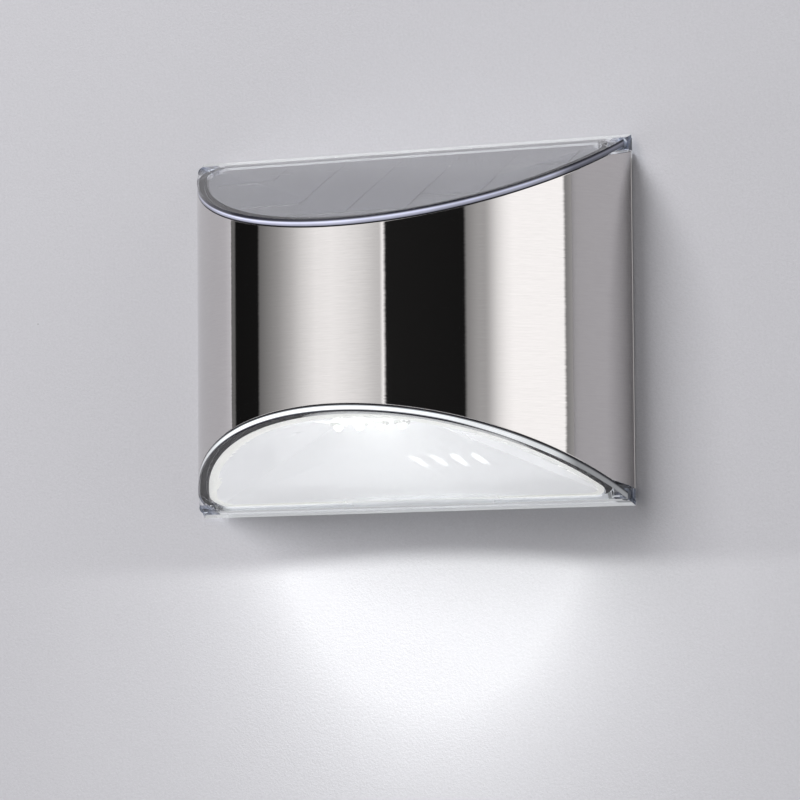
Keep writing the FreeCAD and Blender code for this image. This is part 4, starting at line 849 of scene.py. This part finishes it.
def eased_copy(node, name, angle=30.0):
    """A CAD node's solid with its doubles merged, its flats whole and its edges eased."""
    mesh = frame["nodes"][node].data.copy()
    mesh.materials.clear()
    work = bmesh.new()
    work.from_mesh(mesh)
    bmesh.ops.remove_doubles(work, verts=work.verts, dist=0.001 * MM)
    bmesh.ops.dissolve_limit(work, angle_limit=math.radians(0.4), verts=work.verts, edges=work.edges)
    work.to_mesh(mesh)
    work.free()
    return soften(loose(name, mesh), sizes().eased, 2, angle)


def make_reflector():
    """The white tray: its slanted sides and window, and a creamier flat rim."""
    bow, rim_depth = Bow(), sizes().rim_depth
    tray = eased_copy("reflector", "reflector_tray", 20.0)
    tray.data.materials.append(finish("reflector_plastic"))
    tray.data.materials.append(finish("reflector_rim"))
    for face in tray.data.polygons:
        if face.center.z < rim_depth - bow.height(face.center.y):
            face.material_index = 1
    return place_piece(tray, "lamp", "reflector_plastic", "reflector")


def led_tree():
    """Geometry nodes that set a row of LEDs along X."""
    tree, net, given = new_tree("led_row", Object=["LED"], Int=["Count"], Float=["Pitch"],
                                Vector=["Start"], Material=["Finish"])
    row = net.add("GeometryNodeMeshLine", {"Count": given["Count"], "Start Location": given["Start"],
                                           "Offset": net.combine(given["Pitch"], 0.0, 0.0)})
    pattern = net.add("GeometryNodeObjectInfo", {"Object": given["LED"]})
    many = net.add("GeometryNodeInstanceOnPoints", {"Points": row.outputs[0],
                                                    "Instance": pattern.outputs["Geometry"]})
    end_tree(net, many.outputs[0], given["Finish"])
    return tree


def lathe(name, profile, steps=40):
    """A closed round solid about Z from (radius, height) pairs, bottom to top."""
    verts, faces = [], []
    for radius, height in profile:
        for step in range(steps):
            angle = 2 * math.pi * step / steps
            verts.append((radius * math.cos(angle), radius * math.sin(angle), height))
    for level in range(len(profile) - 1):
        for step in range(steps):
            after = (step + 1) % steps
            a, b = level * steps, (level + 1) * steps
            faces.append((a + step, a + after, b + after, b + step))
    faces.append(tuple(range(steps - 1, -1, -1)))
    faces.append(tuple(range((len(profile) - 1) * steps, len(profile) * steps)))
    return mesh_from(name, verts, faces)


def make_leds():
    """Four LEDs under their board: pale square cases, and lit domes in the cases' wells."""
    low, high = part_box("leds")
    count, side, case = 4, 3.2 * MM, 0.9 * MM
    well_radius, well_floor, dome_radius, dome_start = 1.25 * MM, 0.5 * MM, 1.2 * MM, 4.0
    pitch = (high.x - low.x - side) / (count - 1)
    start = Vector((low.x + side / 2, (low.y + high.y) / 2, high.z))
    half = side / 2
    square = [(-half, -half), (half, -half), (half, half), (-half, half)]
    shell = loose("led_case", prism("led_case", square, lambda y: -case, lambda y: 0.0))
    well = loose("well", lathe("well", [(well_radius, -case - 0.1 * MM), (well_radius, -well_floor)]))
    combine(shell, well, "DIFFERENCE")
    soften(shell, 0.12 * MM, 2)
    reach, rings = high.z - low.z - well_floor, 8
    profile = []
    for ring in range(rings + 1):
        angle = math.radians(dome_start + (90 - dome_start) * ring / rings)
        profile.append((dome_radius * math.sin(angle), -well_floor - reach * math.cos(angle)))
    dome = loose("led_dome", lathe("led_dome", profile))
    dome.data.shade_smooth()
    tree = led_tree()
    for name, pattern, slot in (("led_cases", shell, "led_case"), ("led_domes", dome, "led_resin")):
        piece = run_tree(name, tree, {"LED": pattern, "Count": count, "Pitch": pitch, "Start": start,
                                      "Finish": finish(slot)})
        place_piece(piece, "lamp", "led_resin", "leds")
        piece.visible_diffuse = slot != "led_resin"  # the stage's lamps give the domes' light
        bpy.data.objects.remove(pattern)


# ---------------------------------------------------------------- the studio
def make_world():
    """Soft light all round, with tall white cards and dark flags that the steel mirrors."""
    world = bpy.data.worlds.new("studio")
    bpy.context.scene.world = world
    world.use_nodes = True
    net = Net(world.node_tree)
    x, y, z = net.split(net.add("ShaderNodeTexCoord").outputs["Generated"])
    share = net.span(net.math("ARCTAN2", x, net.times(y, -1.0)), -math.pi, math.pi)
    peak, poles, seen = 1.5, (0.63, 0.63, 0.66), (0.80, 0.80, 0.82)
    # Degrees from straight ahead of the light, and how bright the studio is there.
    cards = [(-180, 0.60), (-94, 0.60), (-92, 0.19), (-88.4, 0.19), (-88.0, 0.009), (-70.0, 0.011),
             (-69.3, 0.20), (-62, 0.34), (-57, 0.44), (-49, 0.69), (-43, 0.96), (-35, 1.22),
             (-27, 1.28), (-20, 1.19), (-12, 1.04), (-5.0, 0.82), (-2.1, 0.78), (-1.8, 1.45),
             (-0.4, 1.45), (-0.1, 0.016), (37.3, 0.012), (37.7, 0.32), (43.0, 0.50), (47.0, 0.52),
             (52.5, 1.06), (56.0, 1.30), (60.0, 1.44), (86.0, 1.44), (86.4, 0.26), (92, 0.50),
             (94, 0.60), (180, 0.60)]
    bands = net.ramp(share, [((angle + 180) / 360, level / peak) for angle, level in cards])
    tall = net.span(net.math("ABSOLUTE", z), 0.80, 0.94, smooth=True)
    mirror = net.mix(tall, net.scaled(bands, peak), poles)
    path = net.add("ShaderNodeLightPath").outputs
    mirrored = net.most(path["Is Glossy Ray"], path["Is Transmission Ray"])
    matt = net.scaled(mirror, net.span(z, -0.7, 0.1, 0.27, 0.70))
    net.set(world.node_tree.nodes["Background"], {
        "Color": net.mix(path["Is Camera Ray"], net.mix(mirrored, matt, mirror), seen), "Strength": 1.0})


def stage_paint(name, tint, one_sided=False, bounce=1.0):
    """Pale matt paint with a fine stipple and a few specks; bounce dims the light it hands on.

    One-sided paint is clear from behind, and also to the reflections of whatever touches it.
    """
    material, net, shader = new_finish(name, {"Roughness": 0.85})
    place = object_place(net)
    stipple = net.noise(place, 1500.0, 4.0, 0.75)
    base = net.mix(net.span(stipple, 0.3, 0.7), shade(tint, 0.95), shade(tint, 1.05))
    cells = net.add("ShaderNodeTexVoronoi", {"Vector": place, "Scale": 55.0}).outputs
    speck = net.times(net.math("GREATER_THAN", net.split(cells["Color"])[0], 0.86),
                      net.math("LESS_THAN", cells["Distance"], 0.028), 0.5)
    paint = net.mix(speck, base, (0.1, 0.09, 0.08))
    path = net.add("ShaderNodeLightPath").outputs
    if bounce < 1.0:
        paint = net.mix(path["Is Diffuse Ray"], paint, shade(tint, bounce))
    net.set(shader, {"Base Color": paint, "Normal": bump(net, stipple, 0.5, 0.2 * MM)})
    if one_sided:
        touching = net.times(path["Is Glossy Ray"], net.math("LESS_THAN", path["Ray Length"], 1.5 * MM))
        open_ = net.most(net.add("ShaderNodeNewGeometry").outputs["Backfacing"], touching)
        show_two(material, net, open_, shader, net.add("ShaderNodeBsdfTransparent"))
    return material


def sheet_of(name, corners, material):
    """One flat sheet of the stage."""
    mesh = bpy.data.meshes.new(name)
    mesh.from_pydata(corners, [], [(0, 1, 2, 3)])
    mesh.materials.append(material)
    sheet = loose(name, mesh)
    return sheet


def add_lamp(name, kind, place, target, power, tint=WHITE, lights=(), **settings):
    """A lamp; lights names the only pieces that it lights, where it doesn't light them all."""
    data = bpy.data.lights.new(name, kind)
    data.energy = power
    data.color = tint
    for key, value in settings.items():
        setattr(data, key, value)
    lamp = loose(name, data)
    lamp.location = place
    if target is not None:
        lamp.rotation_mode = "QUATERNION"
        lamp.rotation_quaternion = (Vector(target) - Vector(place)).to_track_quat("-Z", "Y")
    if lights:
        lamp.light_linking.receiver_collection = bpy.data.collections.new(name + "_lights")
        for piece in lights:
            lamp.light_linking.receiver_collection.objects.link(piece)
    return lamp


def make_beam(stage):
    """The LEDs' light on the wall. Its nodes start it below the case and keep its middle even."""
    lamp = add_lamp("beam", "POINT", (3.5 * MM, -26 * MM, -27 * MM), None, studio().beam_power,
                    tint_of("beam"), stage, shadow_soft_size=0.5 * MM, use_nodes=True)
    net = Net(lamp.data.node_tree)
    x, y, z = net.split(net.add("ShaderNodeTexCoord").outputs["Normal"])
    ahead = net.most(y, 0.001)
    down = net.over(net.times(z, -1.0), ahead)
    across = net.over(x, ahead)
    wide = net.times(across, across)
    deep = net.plus(net.times(down, down), 1.0)
    spread = net.math("POWER", net.plus(deep, wide), 1.5)
    narrow = net.math("POWER", net.plus(deep, net.times(wide, 2.2)), 1.5)
    even = net.math("MINIMUM", net.over(9.4, narrow), 0.44)
    sag = net.math("MINIMUM", net.times(wide, 0.035), 0.09)
    sides = net.span(wide, 14.0, 25.0, 1.0, 0.0)
    below_case = net.span(net.minus(down, sag), 1.02, 1.27, smooth=True)
    net.set(lamp.data.node_tree.nodes["Emission"],
            {"Strength": net.times(even, spread, net.times(sides, below_case))})


def make_inner_light():
    """The tray's own light: a soft fill, the LEDs' wash, and each LED's spot on the back side."""
    inside = [bpy.data.objects[name] for name in ("reflector_tray", "led_cases", "bottom_lens_clear")]
    inside.append(frame["nodes"]["led_board"])
    tint, led_pitch, glint_pitch = tint_of("glow"), 5.8, 5.6
    fill = add_lamp("tray_fill", "AREA", (0.55, -0.35, -0.7), (0.0, -20 * MM, -30 * MM),
                    studio().fill_power, (1.0, 0.98, 0.95), inside, shape="SQUARE", size=0.3)
    wash = add_lamp("led_wash", "POINT", (-2 * MM, -29 * MM, -29.5 * MM), None, studio().inner_power,
                    tint, inside, shadow_soft_size=2 * MM)
    wash.visible_transmission = False
    glints = []
    for index in range(4):
        led = Vector(((index - 1.5) * led_pitch, -26.0, -27.0)) * MM
        on_tray = Vector((6.0 + index * glint_pitch, -11.5, -33.0)) * MM
        glints.append(add_lamp("led_glint_%d" % (index + 1), "SPOT", led, on_tray,
                               studio().glint_power, tint, inside, spot_size=math.radians(4.8),
                               spot_blend=0.3, shadow_soft_size=0.2 * MM))
    for lamp in (fill, wash, *glints):
        lamp.visible_glossy = False


def make_camera():
    """A long lens to the right of the light and a little below it."""
    yaw, pitch, roll = math.radians(24.78), math.radians(4.39), math.radians(0.44)
    target, distance = Vector((-4.0, 0.0, -17.6)) * MM, 1.035
    focal_length, picture_width = 4069.0, 800.0  # both in the photo's pixels
    ahead = Vector((-math.sin(yaw) * math.cos(pitch), math.cos(yaw) * math.cos(pitch), math.sin(pitch)))
    right = Vector((math.cos(yaw), math.sin(yaw), 0.0))
    over = right.cross(ahead)
    x_axis = right * math.cos(roll) - over * math.sin(roll)
    y_axis = right * math.sin(roll) + over * math.cos(roll)
    data = bpy.data.cameras.new("camera")
    data.sensor_width = 36.0
    data.lens = focal_length / picture_width * data.sensor_width
    data.clip_start = 0.05
    data.clip_end = 30.0
    camera = loose("camera", data)
    turn = Matrix((x_axis, y_axis, -ahead)).transposed().to_4x4()
    camera.matrix_world = Matrix.Translation(target - ahead * distance) @ turn
    bpy.context.scene.camera = camera


def make_stage():
    """The wall behind the light, a floor far below, the lamps and the camera."""
    scene = bpy.context.scene
    scene.view_settings.view_transform = "Standard"
    make_world()
    wide, gap, floor_z = 1.6, 0.6 * MM, -0.95
    front = gap - 2 * wide
    wall = sheet_of("stage_wall", [(-wide, gap, floor_z), (wide, gap, floor_z), (wide, gap, wide),
                                   (-wide, gap, wide)],
                    stage_paint("wall_paint", tint_of("wall"), one_sided=True))
    wall.visible_diffuse = False
    wall.visible_shadow = False
    floor = sheet_of("stage_floor", [(-wide, front, floor_z), (wide, front, floor_z),
                                     (wide, gap, floor_z), (-wide, gap, floor_z)],
                     stage_paint("floor_paint", tint_of("floor"), bounce=0.35))
    key = add_lamp("key", "AREA", (-1.3, -1.6, 1.3), (0.0, 0.0, 0.0), studio().key_power,
                   shape="SQUARE", size=0.95)
    key.visible_glossy = False
    make_beam((wall, floor))
    make_inner_light()
    make_camera()


# ---------------------------------------------------------------- the add-on
class FENCELIGHT_OT_steel(Operator):
    """Make the brushed steel shell"""
    bl_idname = "fence_light.steel"
    bl_label = "Steel shell"

    def execute(self, context):
        make_steel_shell()
        return {"FINISHED"}


class FENCELIGHT_OT_covers(Operator):
    """Make the clear top cover and bottom lens"""
    bl_idname = "fence_light.covers"
    bl_label = "Clear covers"

    def execute(self, context):
        make_cover("top_cover_clear", 1, "top_cover")
        make_cover("bottom_lens_clear", -1, "bottom_lens")
        return {"FINISHED"}


class FENCELIGHT_OT_reflector(Operator):
    """Make the white reflector tray"""
    bl_idname = "fence_light.reflector"
    bl_label = "Reflector"

    def execute(self, context):
        make_reflector()
        return {"FINISHED"}


class FENCELIGHT_OT_leds(Operator):
    """Make the row of LEDs and dress their board"""
    bl_idname = "fence_light.leds"
    bl_label = "LEDs"

    def execute(self, context):
        make_leds()
        dress("led_board", "led_board_screws", "led_lead_red", "led_lead_black")
        return {"FINISHED"}


class FENCELIGHT_OT_panel(Operator):
    """Dress the solar panel, its cells, ribbons, foam and leads"""
    bl_idname = "fence_light.panel"
    bl_label = "Solar panel"

    def execute(self, context):
        dress("solar_board", "solar_cells", "panel_foam", "solar_lead_red", "solar_lead_black",
              "top_seal", "bottom_seal")
        dress("cell_ribbons", look="laminated_ribbon")
        return {"FINISHED"}


class FENCELIGHT_OT_housing(Operator):
    """Dress the inner housing, the battery door and the switch"""
    bl_idname = "fence_light.housing"
    bl_label = "Housing"

    def execute(self, context):
        for node, body, slot in (("inner_housing", "lamp", "housing_plastic"),
                                 ("battery_door", "battery_door", "housing_plastic"),
                                 ("switch_slider", "switch_slider", "switch_plastic")):
            place_piece(eased_copy(node, node + "_eased"), body, slot, node)
        dress("door_seal", "door_screws", "switch_body")
        return {"FINISHED"}


class FENCELIGHT_OT_electronics(Operator):
    """Dress the control board, its parts and the battery"""
    bl_idname = "fence_light.electronics"
    bl_label = "Electronics"

    def execute(self, context):
        dress("control_board", "control_board_screws", "controller_chip", "capacitor", "resistor",
              "inductor_core", "inductor_coil", "battery", "battery_plus_contact",
              "battery_minus_contact", "battery_spring", "battery_lead_red", "battery_lead_black")
        return {"FINISHED"}


class FENCELIGHT_OT_stage(Operator):
    """Set the wall, the floor, the light and the camera"""
    bl_idname = "fence_light.stage"
    bl_label = "Stage"

    def execute(self, context):
        make_stage()
        return {"FINISHED"}


OPERATORS = (FENCELIGHT_OT_steel, FENCELIGHT_OT_covers, FENCELIGHT_OT_reflector, FENCELIGHT_OT_leds,
             FENCELIGHT_OT_panel, FENCELIGHT_OT_housing, FENCELIGHT_OT_electronics,
             FENCELIGHT_OT_stage)


class FENCELIGHT_PT_panel(Panel):
    """Lists the pieces and their settings"""
    bl_label = "Fence light"
    bl_space_type = "VIEW_3D"
    bl_region_type = "UI"
    bl_category = "Fence light"

    def draw(self, context):
        for operator in OPERATORS:
            self.layout.operator(operator.bl_idname)
        for group in (context.scene.fence_light_sizes, context.scene.fence_light_colours,
                      context.scene.fence_light_studio):
            for name in group.__annotations__:
                self.layout.prop(group, name)


GROUPS = {"fence_light_sizes": FenceLightSizes, "fence_light_colours": FenceLightColours,
          "fence_light_studio": FenceLightStudio}


def register():
    for item in (*GROUPS.values(), *OPERATORS, FENCELIGHT_PT_panel):
        bpy.utils.register_class(item)
    for name, group in GROUPS.items():
        setattr(bpy.types.Scene, name, PointerProperty(type=group))


def unregister():
    for name in GROUPS:
        delattr(bpy.types.Scene, name)
    for item in (FENCELIGHT_PT_panel, *reversed(OPERATORS), *reversed(list(GROUPS.values()))):
        bpy.utils.unregister_class(item)


def main():
    register()
    for operator in OPERATORS:
        family, name = operator.bl_idname.split(".")
        getattr(getattr(bpy.ops, family), name)()


if __name__ == "__main__":
    main()
